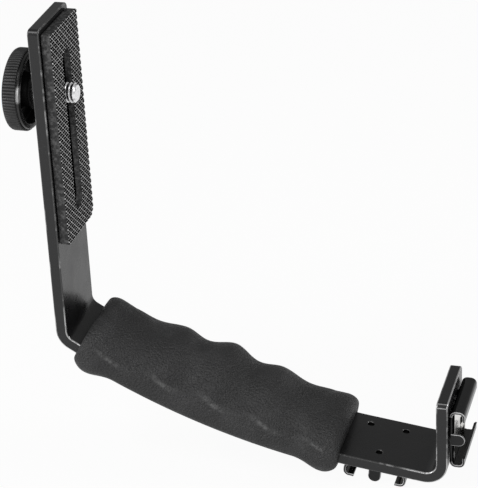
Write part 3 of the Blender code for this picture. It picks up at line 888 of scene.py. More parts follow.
@dataclass
class BentBar:
    """The painted flat bar: a plate that is pushed and spun along the bracket's line."""

    line: BracketLine
    pad: PadSizes
    corner: float = 0.0018
    edge: float = 0.0004
    bend_steps: int = 24
    bow_steps: int = 72
    hole_radius: float = 0.00112
    hole_rim: float = 0.00018
    # Distance past the flange's end of the spot round which its tip is painted bright as a highlight.
    tip_highlight: float = 0.0052

    def build(self, holes: Sequence[Matrix], place: Matrix) -> Shaper:
        """Makes the bar.

        Args:
            holes: A matrix on the bar's outer face for each screw hole, with Z away from the bar.
            place: From the bracket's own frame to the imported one.

        Returns:
            The bar's shaper.
        """
        line = self.line
        bar = Shaper.start(
            "steel_bar",
            bpy.ops.mesh.primitive_plane_add,
            size=1,
            location=(-line.thickness / 2, 0, line.arm),
            scale=(line.thickness, line.width, 1),
        ).settle()
        bar.edit("FACE")
        bpy.ops.mesh.select_all(action="SELECT")
        heading = -math.pi / 2
        for name, (length, radius) in line.stretches().items():
            x, z, heading = line.station(name, 0)
            ahead = Vector((math.cos(heading), 0, math.sin(heading)))
            if radius:
                centre = Vector((x, 0, z)) + Vector((-math.sin(heading), 0, math.cos(heading))) * radius
                steps = self.bow_steps if name == "bow" else self.bend_steps
                bar.spin(math.degrees(length / radius), centre, Vector((0, -1, 0)), steps)
            else:
                bar.extrude(ahead * length)
        bar.tidy()
        x, z, _ = line.station("flange", line.flange)
        tips = (Vector((-line.thickness / 2, 0, line.arm)), Vector((x, 0, z)))

        def at_corner(middle: Vector, run: Vector) -> bool:
            """True for the short edges at the bar's two ends."""
            near = any((Vector((middle.x, 0, middle.z)) - tip).length < line.thickness / 3 for tip in tips)
            return near and abs(run.x) > line.thickness / 2

        bar.pick_edges(at_corner)
        bar.bevel(self.corner, 8)
        # Slot 1 is painted shade for the hole walls, and slot 2 is the rims, worn and painted with highlights.
        bar.tidy().dress(BAR_PAINT, HOLE_SHADE, self.rim_finish(place))
        # The flange tip's rounded corner gets the rim finish, which paints a double highlight there.
        for polygon in bar.piece.data.polygons:
            middle = Vector((polygon.center.x, 0, polygon.center.z))
            lean = math.degrees(math.asin(min(1.0, abs(polygon.normal.y))))
            if (middle - tips[1]).length < 2 * self.corner and (25 < lean < 32 or 70 < lean < 76):
                polygon.material_index = 2
        # Bevelled edges take the rim finish: worn paint and painted highlights.
        bar.pick_sharp(40)
        bar.bevel(self.edge, 4, slot=2)
        bar.close()
        low, high = self.pad.slot(line)
        bar.combine(capsule("slot cutter", low, high, self.pad.slot_width / 2, (-0.01, 0.01)))
        bar.pick_sharp(60, lambda middle, run: abs(middle.y) < self.pad.slot_width * 0.52 and middle.x < -0.003)
        bar.bevel(self.edge / 2, 2)
        bar.close()
        for spot in holes:
            bar.combine(self.hole_cutter(spot))
        bar.settle(place).soften(30).flatten()
        return bar

    def rim_finish(self, place: Matrix) -> WornEdge:
        """The bevelled rims' finish: worn paint and painted highlights, strongest inside each bend and round a spot
        past the flange's tip.
        """
        line = self.line
        highlight_spots = []
        for name in ("first bend", "second bend"):
            x, z, heading = line.station(name, line.stretches()[name][0] / 2)
            inner = Vector((x, 0, z)) + Vector((-math.sin(heading), 0, math.cos(heading))) * line.bend_inner
            highlight_spots.append(tuple(place @ inner))
        # Painted highlight round a spot past the flange's tip.
        x, z, _ = line.station("flange", line.flange + self.tip_highlight)
        highlight_spots.append(tuple(place @ Vector((x, 0, z))))
        return WornEdge("worn rim with painted highlights", (0.012, 0.012, 0.012), 0.24, specular_index=1.55, highlight_spots=tuple(highlight_spots))

    def hole_cutter(self, spot: Matrix) -> Shaper:
        """A cutter for one screw hole with a small rim on the inner face."""
        rim = -self.line.thickness
        rings = [
            (rim - 0.001, self.hole_radius + self.hole_rim + 0.001),
            (rim + self.hole_rim, self.hole_radius),
            (0.001, self.hole_radius),
        ]
        upright = Matrix.Rotation(-math.pi / 2, 4, "Y")
        cutter = turned("hole cutter", rings, 32).dress(HOLE_SHADE, HOLE_RIM_HIGHLIGHT)
        # The hole's rim gets the highlight rim finish, and its wall gets painted shade.
        for polygon in cutter.piece.data.polygons:
            if polygon.center.x < rim + self.hole_rim:
                polygon.material_index = 1
        return cutter.settle(spot @ upright)


@dataclass
class CameraPad:
    """The rubber pad: a plain plate that carries rows of small raised diamonds."""

    line: BracketLine
    sizes: PadSizes
    relief: float = 0.00024
    diamond_width: float = 0.002339
    diamond_height: float = 0.002162
    top_share: float = 0.64
    foot_share: float = 0.76
    sunk: float = 0.00005

    def plate(self, name: str, low: float, high: float) -> Shaper:
        """A plate with the pad's outline and slot between two places along X."""
        sizes, line = self.sizes, self.line
        top = sizes.top(line)
        bottom = top - sizes.length
        half = sizes.width / 2
        plate = Shaper.start(
            name,
            bpy.ops.mesh.primitive_cube_add,
            size=1,
            location=((low + high) / 2, 0, (top + bottom) / 2),
            scale=(high - low, sizes.width, sizes.length),
        ).settle()
        trimmed = Vector((0, half, bottom))

        def upright(middle: Vector, run: Vector) -> bool:
            """True for the four edges through the plate."""
            return abs(run.x) > abs(run.y) + abs(run.z)

        def is_trimmed(middle: Vector) -> bool:
            """True for the corner that is cut back."""
            return (Vector((0, middle.y, middle.z)) - trimmed).length < sizes.trimmed

        plate.pick_edges(lambda middle, run: upright(middle, run) and is_trimmed(middle))
        plate.bevel(sizes.trimmed, 12)
        plate.pick_edges(lambda middle, run: upright(middle, run) and self.at_corner(middle))
        plate.bevel(sizes.corner, 5)
        plate.tidy()
        slot_low, slot_high = sizes.slot(line)
        return plate.combine(capsule("pad slot cutter", slot_low, slot_high, sizes.slot_width / 2, (-0.01, 0.01)))

    def at_corner(self, middle: Vector) -> bool:
        """True at the pad's three tight corners."""
        sizes = self.sizes
        top = sizes.top(self.line)
        bottom = top - sizes.length
        half = sizes.width / 2
        corners = ((half, top), (-half, top), (-half, bottom))
        return any(abs(middle.y - y) + abs(middle.z - z) < sizes.corner / 4 for y, z in corners)

    def diamonds(self, floor: float) -> Shaper:
        """Rows of raised diamonds over the pad's face.

        Args:
            floor: Where the face between them lies along X.

        Returns:
            The diamonds as one piece.
        """
        sizes = self.sizes
        across, up = self.diamond_width, self.diamond_height
        wide = math.ceil(sizes.width / across / 2) + 1
        tall = math.ceil(sizes.length / up / 2) + 1
        middle = sizes.top(self.line) - sizes.length / 2
        seed = Shaper.start(
            "pad_diamonds",
            bpy.ops.mesh.primitive_cone_add,
            vertices=4,
            radius1=self.foot_share / 2,
            radius2=self.top_share / 2,
            depth=1,
        )
        seed.settle().dress(PAD_RUBBER)
        rise = self.relief + self.sunk
        seed.reshape(
            lambda point: Vector(
                (
                    floor - self.sunk + (point.z + 0.5) * rise,
                    point.x * across - wide * across,
                    point.y * up + middle - tall * up,
                )
            )
        )
        seed.tidy()
        steps = (
            (wide * 2 + 1, (0, across, 0)),
            (2, (0, across / 2, up / 2)),
            (tall * 2 + 1, (0, 0, up)),
        )
        for count, step in steps:
            seed.modify(
                "ARRAY",
                count=count,
                use_relative_offset=False,
                use_constant_offset=True,
                constant_offset_displace=step,
            )
        return seed

    def build(self, place: Matrix) -> Shaper:
        """Makes the pad.

        Args:
            place: From the bracket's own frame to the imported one.

        Returns:
            The pad's shaper.
        """
        sizes = self.sizes
        face = FIT_GAP + sizes.thickness
        floor = face - self.relief
        body = self.plate("rubber_pad", FIT_GAP, floor)
        slot_low, slot_high = sizes.slot(self.line)
        span = (-0.005, sizes.channel_depth)
        body.combine(capsule("pad channel cutter", slot_low, slot_high, sizes.channel_radius, span))
        middle = place @ Vector((face, 0, sizes.top(self.line) - sizes.length / 2))
        ridged = RidgedRubber(
            "ridged pad face", (0.003, 0.003, 0.003), 0.8, specular_index=1.06, centre=tuple(middle)
        )
        body.dress(PAD_SIDE, PAD_RUBBER, ridged)
        relief = self.diamonds(floor).dress(PAD_SIDE, PAD_RUBBER, ridged)
        relief.combine(self.plate("relief bounds", floor - 0.001, face + 0.001), "INTERSECT")
        for item in (body, relief):
            for polygon in item.piece.data.polygons:
                if polygon.center.x > floor - 0.00001:
                    polygon.material_index = 2
        self.join(body, relief)
        body.settle(place).soften(20)
        return body

    def join(self, body: Shaper, relief: Shaper) -> None:
        """Makes the diamonds part of the pad's mesh and deletes their own object."""
        bpy.ops.object.select_all(action="DESELECT")
        relief.piece.select_set(True)
        body.piece.select_set(True)
        bpy.context.view_layer.objects.active = body.piece
        bpy.ops.object.join()


@dataclass
class HandGrip:
    """The moulded foam grip: four finger hollows inside the bracket and a smooth palm side."""

    line: BracketLine
    start: float = 0.0033
    length: float = 0.0908
    half_depth: float = 0.0156
    palm: float = 0.00556
    fingers: float = 0.01145
    crown_rise: float = 0.0063
    crown_power: float = 1.38
    roundness: float = 2.3
    fan_share: float = 0.7
    finger_end: tuple[float, float] = (0.0045, 0.0032)
    palm_end: tuple[float, float] = (0.0085, 0.0044)
    end_narrowing: float = 0.001
    lobe: tuple[float, float, float] = (0.0043, 0.003, 0.0115)
    lobe_depth_share: float = 0.2
    pitch: float = 0.0182
    offset: float = 0.0006
    cuts: tuple[float, ...] = (0.00095, 0.00195, 0.002, 0.00105)
    fade: tuple[float, float] = (0.06, 0.2)
    ridge: tuple[float, float] = (0.335, 0.062)
    crest_band: float = 0.085
    crest_rise: float = 0.0003
    crest_shift: float = 0.0012
    rings: int = 170
    points: int = 192

    def rounding(self, from_end: float, reach: float) -> float:
        """Share of an end's rounding: 1 on the end face and 0 from the reach on."""
        short = max(0.0, 1 - from_end / reach)
        return 1 - math.sqrt(1 - short**2)

    def outline(self, along: float) -> tuple[float, float, float, float]:
        """The grip's section sizes.

        Args:
            along: The distance from the grip's start.

        Returns:
            Half depth, finger height, palm height and finger cut.
        """
        centre = along - self.length / 2 - self.offset
        from_end = min(along, self.length - along)
        reach = len(self.cuts) * self.pitch / 2
        fingers = self.fingers + self.crown_rise * (1 - min(1, abs(centre) / reach) ** self.crown_power)
        cut = 0.0
        if abs(centre) < reach:
            turns = (centre + reach) / self.pitch
            cut = self.cuts[int(turns)] * (1 - math.cos(math.tau * turns)) / 2
        rise, place, width = self.lobe
        bulge = 0.0
        if abs(from_end - place) < width:
            bulge = rise * math.cos(math.pi / 2 * (from_end - place) / width) ** 2
        finger_round = self.rounding(from_end, self.finger_end[0])
        palm_round = self.rounding(from_end, self.palm_end[0])
        depth = self.half_depth + bulge * self.lobe_depth_share - self.end_narrowing * finger_round
        return depth, fingers - self.finger_end[1] * finger_round, self.palm + bulge - self.palm_end[1] * palm_round, cut

    def section(self, along: float) -> list[Vector]:
        """Points of one section of the grip."""
        half_depth, fingers, palm, cut = self.outline(along)
        x, z, heading = self.line.station("bow", self.start + along)
        middle = self.line.station("bow", self.start + self.length / 2)[2]
        lean = middle + (heading - middle) * self.fan_share
        up = Vector((-math.sin(lean), 0, math.cos(lean)))
        found = []
        for index in range(self.points):
            angle = math.tau * index / self.points
            across = math.copysign(abs(math.cos(angle)) ** (2 / self.roundness), math.cos(angle))
            above = math.copysign(abs(math.sin(angle)) ** (2 / self.roundness), math.sin(angle))
            past = math.sin(angle) - self.ridge_at(along) + self.fade[0]
            share = min(1.0, max(0.0, past / (self.fade[0] + self.fade[1])))
            share = share * share * (3 - 2 * share)
            point = Vector((x, half_depth * across, z)) + up * (fingers if above > 0 else palm) * above
            inward = (Vector((0, -across, 0)) - up * above).normalized()
            found.append(point + inward * (cut * share - self.crest_rise * self.crest(along, angle)))
        return found

    def crest(self, along: float, angle: float) -> float:
        """How far a point lies on the front edge between two finger hollows, where it is raised and painted lighter as
        a highlight, from 0 to 1.
        """
        off = abs(math.sin(angle) - self.ridge_at(along)) / self.crest_band
        if off >= 1 or math.cos(angle) > 0 or min(along, self.length - along) < self.finger_end[0]:
            return 0.0
        turns = (along - self.length / 2 - self.offset - self.crest_shift) / self.pitch
        return math.cos(math.pi / 2 * off) ** 2 * (0.5 + 0.5 * math.cos(math.tau * turns)) ** 1.5

    def ridge_at(self, along: float) -> float:
        """Sine of the angle at which the finger hollows end, on a line that waves with them."""
        middle, wave = self.ridge
        return middle - wave * math.sin(math.tau * (along - self.length / 2 - self.offset) / self.pitch)

    def places(self) -> list[float]:
        """Distances of the sections, closer together at the rounded ends."""
        reach = self.finger_end[0]
        ends = [reach * (1 - math.cos(math.pi / 2 * step / 14)) for step in range(14)]
        middle = self.length - 2 * reach
        found = ends + [reach + middle * step / self.rings for step in range(self.rings + 1)]
        return found + [self.length - place for place in reversed(ends)]

    def build(self, place: Matrix) -> Shaper:
        """Makes the grip as one skin and cuts the bar's channel through it.

        Args:
            place: From the bracket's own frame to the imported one.

        Returns:
            The grip's shaper.
        """
        bm = bmesh.new()
        loops = [[bm.verts.new(point) for point in self.section(along)] for along in self.places()]
        for first, second in zip(loops, loops[1:]):
            for index in range(self.points):
                after = (index + 1) % self.points
                bm.faces.new((first[index], first[after], second[after], second[index]))
        bm.faces.new(loops[0])
        bm.faces.new(loops[-1])
        bmesh.ops.recalc_face_normals(bm, faces=bm.faces)
        mesh = bpy.data.meshes.new("foam_grip")
        bm.to_mesh(mesh)
        bm.free()
        # This attribute carries the painted highlight on the front crest.
        crest_highlight = mesh.attributes.new("crest_highlight", "FLOAT", "POINT")
        angles = [math.tau * index / self.points for index in range(self.points)]
        crest_highlight.data.foreach_set("value", [self.crest(along, angle) for along in self.places() for angle in angles])
        item = bpy.data.objects.new("foam_grip", mesh)
        bpy.context.scene.collection.objects.link(item)
        grip = Shaper(item, "foam_grip")
        grip.combine(self.channel())
        grip.settle(place).dress(GRIP_FOAM).soften(40)
        return grip

    def channel(self) -> Shaper:
        """The cutter for the bar's channel, spun along the bow."""
        line = self.line
        before = 0.002
        x, z, heading = line.station("bow", 0)
        ahead = Vector((math.cos(heading), 0, math.sin(heading)))
        tool = Shaper.start(
            "channel cutter",
            bpy.ops.mesh.primitive_plane_add,
            size=1,
            location=Vector((x, 0, z)) - ahead * before,
            rotation=(0, math.pi / 2 - heading, 0),
            scale=(line.thickness + 2 * FIT_GAP, line.width + 2 * FIT_GAP, 1),
        ).settle()
        tool.edit("FACE")
        bpy.ops.mesh.select_all(action="SELECT")
        tool.extrude(ahead * before)
        centre = Vector((x, 0, z)) + Vector((-math.sin(heading), 0, math.cos(heading))) * line.bow_radius
        tool.spin(math.degrees(line.bow_length / line.bow_radius), centre, Vector((0, -1, 0)), 72)
        return tool.tidy()


@dataclass
class ScrewAndKnob:
    """The camera screw, its two washers and the knurled knob, round the screw's own axis."""

    line: BracketLine
    thread_radius: float = 0.003175
    thread_depth: float = 0.00068
    pitch: float = 0.00127
    thread_length: float = 0.0043
    tip: float = 0.0006
    thread_turn: float = 0.0
    shallow: tuple[float, float] = (0.0008, 0.00022)
    shank: float = 0.0025
    head_flats: float = 0.0075
    head_height: float = 0.0024
    standoff: float = 0.005
    retainer: tuple[float, float, float] = (0.0052, 0.0006, 0.0007)
    washer: tuple[float, float] = (0.006, 0.0008)
    knob_radius: float = 0.0129
    knob_thickness: float = 0.0055
    chamfer: float = 0.0007
    knurl: float = 0.0003
    teeth: int = 80
    step: float = 0.0006
    # Height above the axis of the painted highlight on the knob's lip.
    lip_highlight: float = 0.003
    lip_height: float = 0.0009
    wall: float = 0.0017
    web: float = 0.002
    hub: float = 0.0055

    @property
    def inner_face(self) -> float:
        """Where the knob's face towards the arm lies along X."""
        return -self.line.thickness - self.standoff

    @property
    def outer_face(self) -> float:
        """Where the knob's outer face lies along X."""
        return self.inner_face - self.knob_thickness

    def hexagon(self, angle: float, flats: float) -> float:
        """Radius of a hexagon at an angle."""
        sixth = math.tau / 6
        return flats / 2 / math.cos(angle % sixth - sixth / 2)

    def thread(self, along: float, angle: float) -> float:
        """Radius of the thread at a distance from its start and an angle."""
        phase = (along / self.pitch - angle / math.tau + self.thread_turn) % 1
        crest = min(1.0, max(0.0, (1 - abs(2 * phase - 1)) * 1.3 - 0.15))
        crest = crest * crest * (3 - 2 * crest) * 0.35 + crest * 0.65
        runout = min(1.0, max(0.0, along / (self.pitch * 0.5)))
        full = self.thread_radius - self.thread_depth * (1 - crest * runout)
        reach, rise = self.shallow
        deepening = min(1.0, max(0.0, (along - reach) / 0.0001))
        full = min(full, self.shank + rise + (self.thread_radius - self.shank - rise) * deepening)
        room = max(0.0, along - (self.thread_length - self.tip))
        return min(full, self.thread_radius - self.thread_depth * room / self.tip)

    def build_screw(self, place: Matrix) -> Shaper:
        """Makes the screw: hexagon head, plain shank and threaded end."""
        low = self.outer_face + FIT_GAP
        start = FIT_GAP + self.retainer[1] + self.retainer[2]
        count = 128
        points = 72
        rings = [(low, 0.0037), (low + 0.0002, 0.0038), (low + self.head_height, 0.0038)]
        rings += [(low + self.head_height, self.shank + 0.0003), (low + self.head_height + 0.0003, self.shank)]
        rings += [(start - 0.0001, self.shank)]
        rings += [(start + self.thread_length * index / count, self.thread_radius) for index in range(count + 1)]
        end = start + self.thread_length
        rings.append((end, self.thread_radius * 0.45))
        screw = turned("machine_screw", rings, points)

        def shape(point: Vector) -> Vector:
            """Gives the head its six sides and the end its thread."""
            angle = math.atan2(point.z, point.y) % math.tau
            radius = math.hypot(point.y, point.z)
            if point.x < low + self.head_height + 0.00001 and radius > 0.0035:
                radius = self.hexagon(angle, self.head_flats) - (0.0002 if point.x < low + 0.0001 else 0)
            elif point.x >= start and radius > self.shank:
                radius = self.thread(point.x - start, angle)
            return Vector((point.x, radius * math.cos(angle), radius * math.sin(angle)))

        screw.reshape(shape)
        centre = place @ Vector((0, 0, 0))
        chrome = ThreadChrome("screw chrome", (0.93, 0.93, 0.94), 0.14, 0.4, centre=tuple(centre))
        return screw.settle(place).dress(chrome).soften(38)

    def build_washers(self, place: Matrix) -> tuple[Shaper, Shaper]:
        """Makes the retaining washer and the clamp washer, with softened rims."""
        bore = self.shank + FIT_GAP
        made = []
        plans = (
            ("nylon_washer", FIT_GAP, self.retainer[1], self.retainer[0], NYLON),
            ("steel_washer", self.inner_face + FIT_GAP, self.washer[1], self.washer[0], BLACK_STEEL),
        )
        for name, low, thick, radius, finish in plans:
            soft = thick * 0.15
            rings = [
                (low + soft, bore),
                (low, bore + soft),
                (low, radius - soft),
                (low + soft, radius),
                (low + thick - soft, radius),
                (low + thick, radius - soft),
                (low + thick, bore + soft),
                (low + thick - soft, bore),
            ]
            made.append(turned(name, rings, 96, hollow=True).settle(place).dress(finish).soften(50))
        return made[0], made[1]

    def build_knob(self, place: Matrix) -> Shaper:
        """Makes the knob: a ribbed cup with a smooth lip, a web, a hub and the head's pocket."""
        outer, inner = self.outer_face, self.inner_face
        radius = self.knob_radius
        band = inner - self.lip_height
        lip = radius - self.step
        cup = lip - self.wall
        floor = outer + self.web
        pocket = outer + 2 * FIT_GAP + self.head_height
        bore = self.shank + FIT_GAP
        hexagon = self.head_flats + 2 * FIT_GAP
        soft = 0.00015
        rings = [
            (outer, hexagon / 2),
            (outer, radius * 0.62),
            (outer + 0.0003, radius * 0.64),
            (outer + 0.0003, radius * 0.8),
            (outer, radius * 0.82),
            (outer, radius - self.chamfer),
            (outer + self.chamfer * 0.35, radius - self.chamfer * 0.35),
            (outer + self.chamfer, radius),
            (band - 0.0002, radius),
            (band, radius - 0.0002),
            (band, lip),
            (inner - self.step, lip),
            (inner - self.step * 0.3, lip - self.step * 0.3),
            (inner, lip - self.step),
            (inner, cup + soft),
            (inner - soft, cup),
            (floor + 0.0005, cup - self.step / 2),
            (floor, cup - self.step / 2 - 0.0005),
            (floor, self.hub + 0.0004),
            (floor + 0.0004, self.hub),
            (inner - soft, self.hub - self.step / 2),
            (inner, self.hub - self.step / 2 - soft),
            (inner, bore),
            (pocket, bore),
            (pocket, hexagon / 2),
        ]
        knob = turned("ribbed_knob", rings, self.teeth * 8, hollow=True)

        def shape(point: Vector) -> Vector:
            """Cuts the ribs and gives the pocket its six sides."""
            angle = math.atan2(point.z, point.y) % math.tau
            size = math.hypot(point.y, point.z)
            if abs(size - hexagon / 2) < 0.00001 and point.x < pocket + 0.00001:
                size = self.hexagon(angle, hexagon)
            elif size > radius - self.chamfer * 0.4 and point.x < band + 0.00001:
                wave = math.cos(angle * self.teeth) * 0.5 + 0.5
                share = min(1.0, (point.x - outer) / self.chamfer + 0.15)
                size -= self.knurl * (1 - wave**0.3) * share
            return Vector((point.x, size * math.cos(angle), size * math.sin(angle)))

        # Painted highlight on the knob's lip, round a spot above the axis.
        shine = place @ Vector((inner, 0, self.lip_highlight))
        lip_highlight_finish = WornEdge(
            "painted lip highlight", (0.01,) * 3, 0.25, 0.0, 1.45, (0.4,) * 3, 0.0, 0.02, shine=0.2, highlight_spots=(tuple(shine),), reach=0.003
        )
        knob.reshape(shape).dress(KNOB_PLASTIC, KNOB_HOLLOW_SHADE, lip_highlight_finish)
        # Faces inside the cup get painted shade, and the lip ring gets the painted highlight.
        for polygon in knob.piece.data.polygons:
            middle = polygon.center
            size = math.hypot(middle.y, middle.z)
            if size < cup and middle.x > floor - 0.0001:
                polygon.material_index = 1
            elif size > cup and middle.x > band:
                polygon.material_index = 2
        return knob.settle(place).soften(34)


@dataclass
class AccessoryShoe:
    """A folded sheet shoe with its leaf spring and three screws, modelled flat and then placed.

    Its own frame has X across the rails, Y along them to the open back and Z away from the bar.
    """

    sheet: float = 0.0008
    width: float = 0.0203
    height: float = 0.0048
    rail: float = 0.0019
    length: float = 0.0215
    gap: float = 0.0134
    stop_width: float = 0.0041
    stop_height: float = 0.0048
    ear: tuple[float, float, float] = (0.0008, 0.0004, 0.0006)
    spring_thickness: float = 0.0003
    spring_width: float = 0.0172
    spring_arm: float = 0.0072
    spring_bridge: float = 0.0095
    spring_rise: float = 0.0007
    spring_setback: float = 0.0012
    screw_radius: float = 0.001
    screw_head: float = 0.0018
    screw_spots: tuple[tuple[float, float], ...] = ((-0.00585, 0.00775), (0.00585, 0.00775), (0, -0.0068))
    screw_end: float = 0.003
    rim: float = 0.0002

    def build_shoe(self) -> Shaper:
        """Folds the sheet from its middle outwards, mirrors it and adds the stop, the ear and the holes."""
        base = FIT_GAP
        flat = self.width / 2 - self.rail
        shoe = Shaper.start(
            "shoe",
            bpy.ops.mesh.primitive_plane_add,
            size=1,
            location=(0, 0, base + self.sheet / 2),
            rotation=(0, math.pi / 2, 0),
            scale=(self.sheet, self.length, 1),
        ).settle()
        shoe.edit("FACE")
        bpy.ops.mesh.select_all(action="SELECT")
        shoe.extrude(Vector((flat, 0, 0)))
        down = Vector((0, -1, 0))
        shoe.spin(90, Vector((flat, 0, base + self.rail)), down, 14)
        shoe.extrude(Vector((0, 0, self.height - 2 * self.rail)))
        shoe.spin(90, Vector((flat, 0, base + self.height - self.rail)), down, 14)
        shoe.extrude(Vector((self.gap / 2 - flat, 0, 0)))
        shoe.pick_faces(lambda centre, normal: abs(centre.x) < 0.000001)
        bpy.ops.mesh.delete(type="FACE")
        shoe.close().modify("MIRROR", use_mirror_merge=True, merge_threshold=0.00001)
        shoe.tidy().dress(SHOE_PAINT, SHOE_RIM_HIGHLIGHT)
        ends = self.length / 2 - self.sheet / 4
        # The rails' end rims get the rim finish with a painted highlight.
        shoe.pick_sharp(50, lambda middle, run: abs(middle.y) > ends and abs(middle.x) > flat - self.rail / 2)
        shoe.bevel(self.rim, 3, slot=1).close()
        shoe.combine(self.stop(), "UNION")
        shoe.combine(self.ear_rod(), "UNION")
        for spot in self.screw_spots:
            shoe.combine(self.countersink(spot))
        return shoe.soften(34).flatten()

    def stop(self) -> Shaper:
        """The round tab that closes the shoe's front."""
        radius = self.stop_width / 2
        front = -self.length / 2 - self.sheet / 4
        low = FIT_GAP + self.sheet / 2
        high = FIT_GAP + self.stop_height
        tab = Shaper.start(
            "stop",
            bpy.ops.mesh.primitive_cube_add,
            size=1,
            location=(0, front + self.sheet / 2, (low + high) / 2),
            scale=(self.stop_width, self.sheet, high - low),
        ).settle()
        tab.pick_edges(lambda middle, run: abs(run.y) > abs(run.x) + abs(run.z) and middle.z > (low + high) / 2)
        tab.bevel(radius * 0.999, 16).tidy().dress(SHOE_PAINT, SHOE_RIM_HIGHLIGHT)
        # The stop's rim gets the rim finish with a painted highlight.
        tab.pick_sharp(50, lambda middle, run: middle.z > low + self.sheet * 0.6)
        return tab.bevel(self.rim, 3, slot=1).close()

    def ear_rod(self) -> Shaper:
        """The small ear behind the lower lip."""
        reach, wide, high = self.ear
        start = self.length / 2 - reach / 2
        low = FIT_GAP + self.height - self.sheet * 0.75
        rod = Shaper.start(
            "ear",
            bpy.ops.mesh.primitive_cube_add,
            size=1,
            location=(self.gap / 2 + self.sheet / 4 + wide / 2, start + reach * 0.75, low + high / 2),
            scale=(wide, reach * 1.5, high),
        ).settle()
        rod.pick_edges(lambda middle, run: abs(run.y) > abs(run.x) + abs(run.z))
        rod.bevel(wide * 0.3, 3).tidy().dress(SHOE_PAINT, SHOE_RIM_HIGHLIGHT)
        rod.pick_sharp(50)
        return rod.bevel(self.rim / 2, 2, slot=1).close()

    def countersink(self, spot: tuple[float, float]) -> Shaper:
        """A cutter for one screw's hole in the base."""
        top = FIT_GAP + self.sheet
        rings = [
            (-0.0002, self.screw_radius + FIT_GAP),
            (FIT_GAP, self.screw_radius + FIT_GAP),
            (top, self.screw_head + FIT_GAP),
            (top + 0.0003, self.screw_head + FIT_GAP),
        ]
        return turned("countersink", rings, 32).settle(self.upright(spot)).dress(SHOE_PAINT, SHOE_RIM_HIGHLIGHT)

    def upright(self, spot: tuple[float, float]) -> Matrix:
        """Stands a body turned round X on the shoe's base."""
        return Matrix.Translation((spot[0], spot[1], 0)) @ Matrix.Rotation(-math.pi / 2, 4, "Y")

    def build_spring(self) -> Shaper:
        """Makes the leaf spring: a bridge behind the stop and two bowed arms under the lips."""
        start = -self.length / 2 + self.sheet + FIT_GAP
        bridge = start + self.spring_bridge
        end = self.length / 2 - self.spring_setback
        base = 2 * FIT_GAP + self.sheet
        inner = self.spring_width / 2 - self.spring_arm
        spring = Shaper.start(
            "spring",
            bpy.ops.mesh.primitive_grid_add,
            x_subdivisions=43,
            y_subdivisions=64,
            size=1,
            location=(0, (start + end) / 2, base),
            scale=(self.spring_width, end - start, 1),
        ).settle()
        notch = inner + 0.0001
        spring.pick_faces(lambda centre, normal: abs(centre.x) < notch and centre.y > bridge)
        bpy.ops.mesh.delete(type="FACE")
        spring.close()

        def bow(point: Vector) -> Vector:
            """Lifts the arms between the bridge and their ends."""
            share = max(0.0, (point.y - bridge) / (end - bridge))
            return Vector((point.x, point.y, base + self.spring_rise * math.sin(math.pi * share) ** 2))

        spring.reshape(bow)
        spring.modify("SOLIDIFY", thickness=self.spring_thickness, offset=1, use_even_offset=True)
        spring.tidy()
        spring.modify("BEVEL", width=0.00005, segments=2, limit_method="ANGLE", angle_limit=math.radians(50))
        spring.dress(NICKEL, DARK_SPRING_EDGE)
        # The spring's front-facing faces get the near-black edge finish.
        for polygon in spring.piece.data.polygons:
            if polygon.normal.y < -0.5:
                polygon.material_index = 1
        return spring.soften(34)

    def build_screw(self, line: BracketLine) -> Shaper:
        """Makes one countersunk screw with a cross recess, standing on the bar's outer face."""
        low = 0.0007 - line.thickness
        top = FIT_GAP + self.sheet
        rings = [
            (low, self.screw_radius * 0.75),
            (low + 0.0002, self.screw_radius),
            (FIT_GAP, self.screw_radius),
            (top - 0.0001, self.screw_head - 0.00005),
            (top, self.screw_head - 0.0001),
        ]
        screw = turned("shoe screw", rings, 48).settle(self.upright((0, 0)))
        for wide, deep in ((0.0019, 0.0005), (0.0005, 0.0019)):
            bit = Shaper.start(
                "recess cutter",
                bpy.ops.mesh.primitive_cube_add,
                size=1,
                location=(0, 0, top),
                scale=(wide, deep, 0.0009),
            ).settle()
            screw.combine(bit)
        screw.dress(OXIDE, HOLE_SHADE)
        # The screw's end below the sheet, seen down the hole, gets painted shade.
        for polygon in screw.piece.data.polygons:
            if polygon.center.z < FIT_GAP:
                polygon.material_index = 1
        return screw.soften(34)


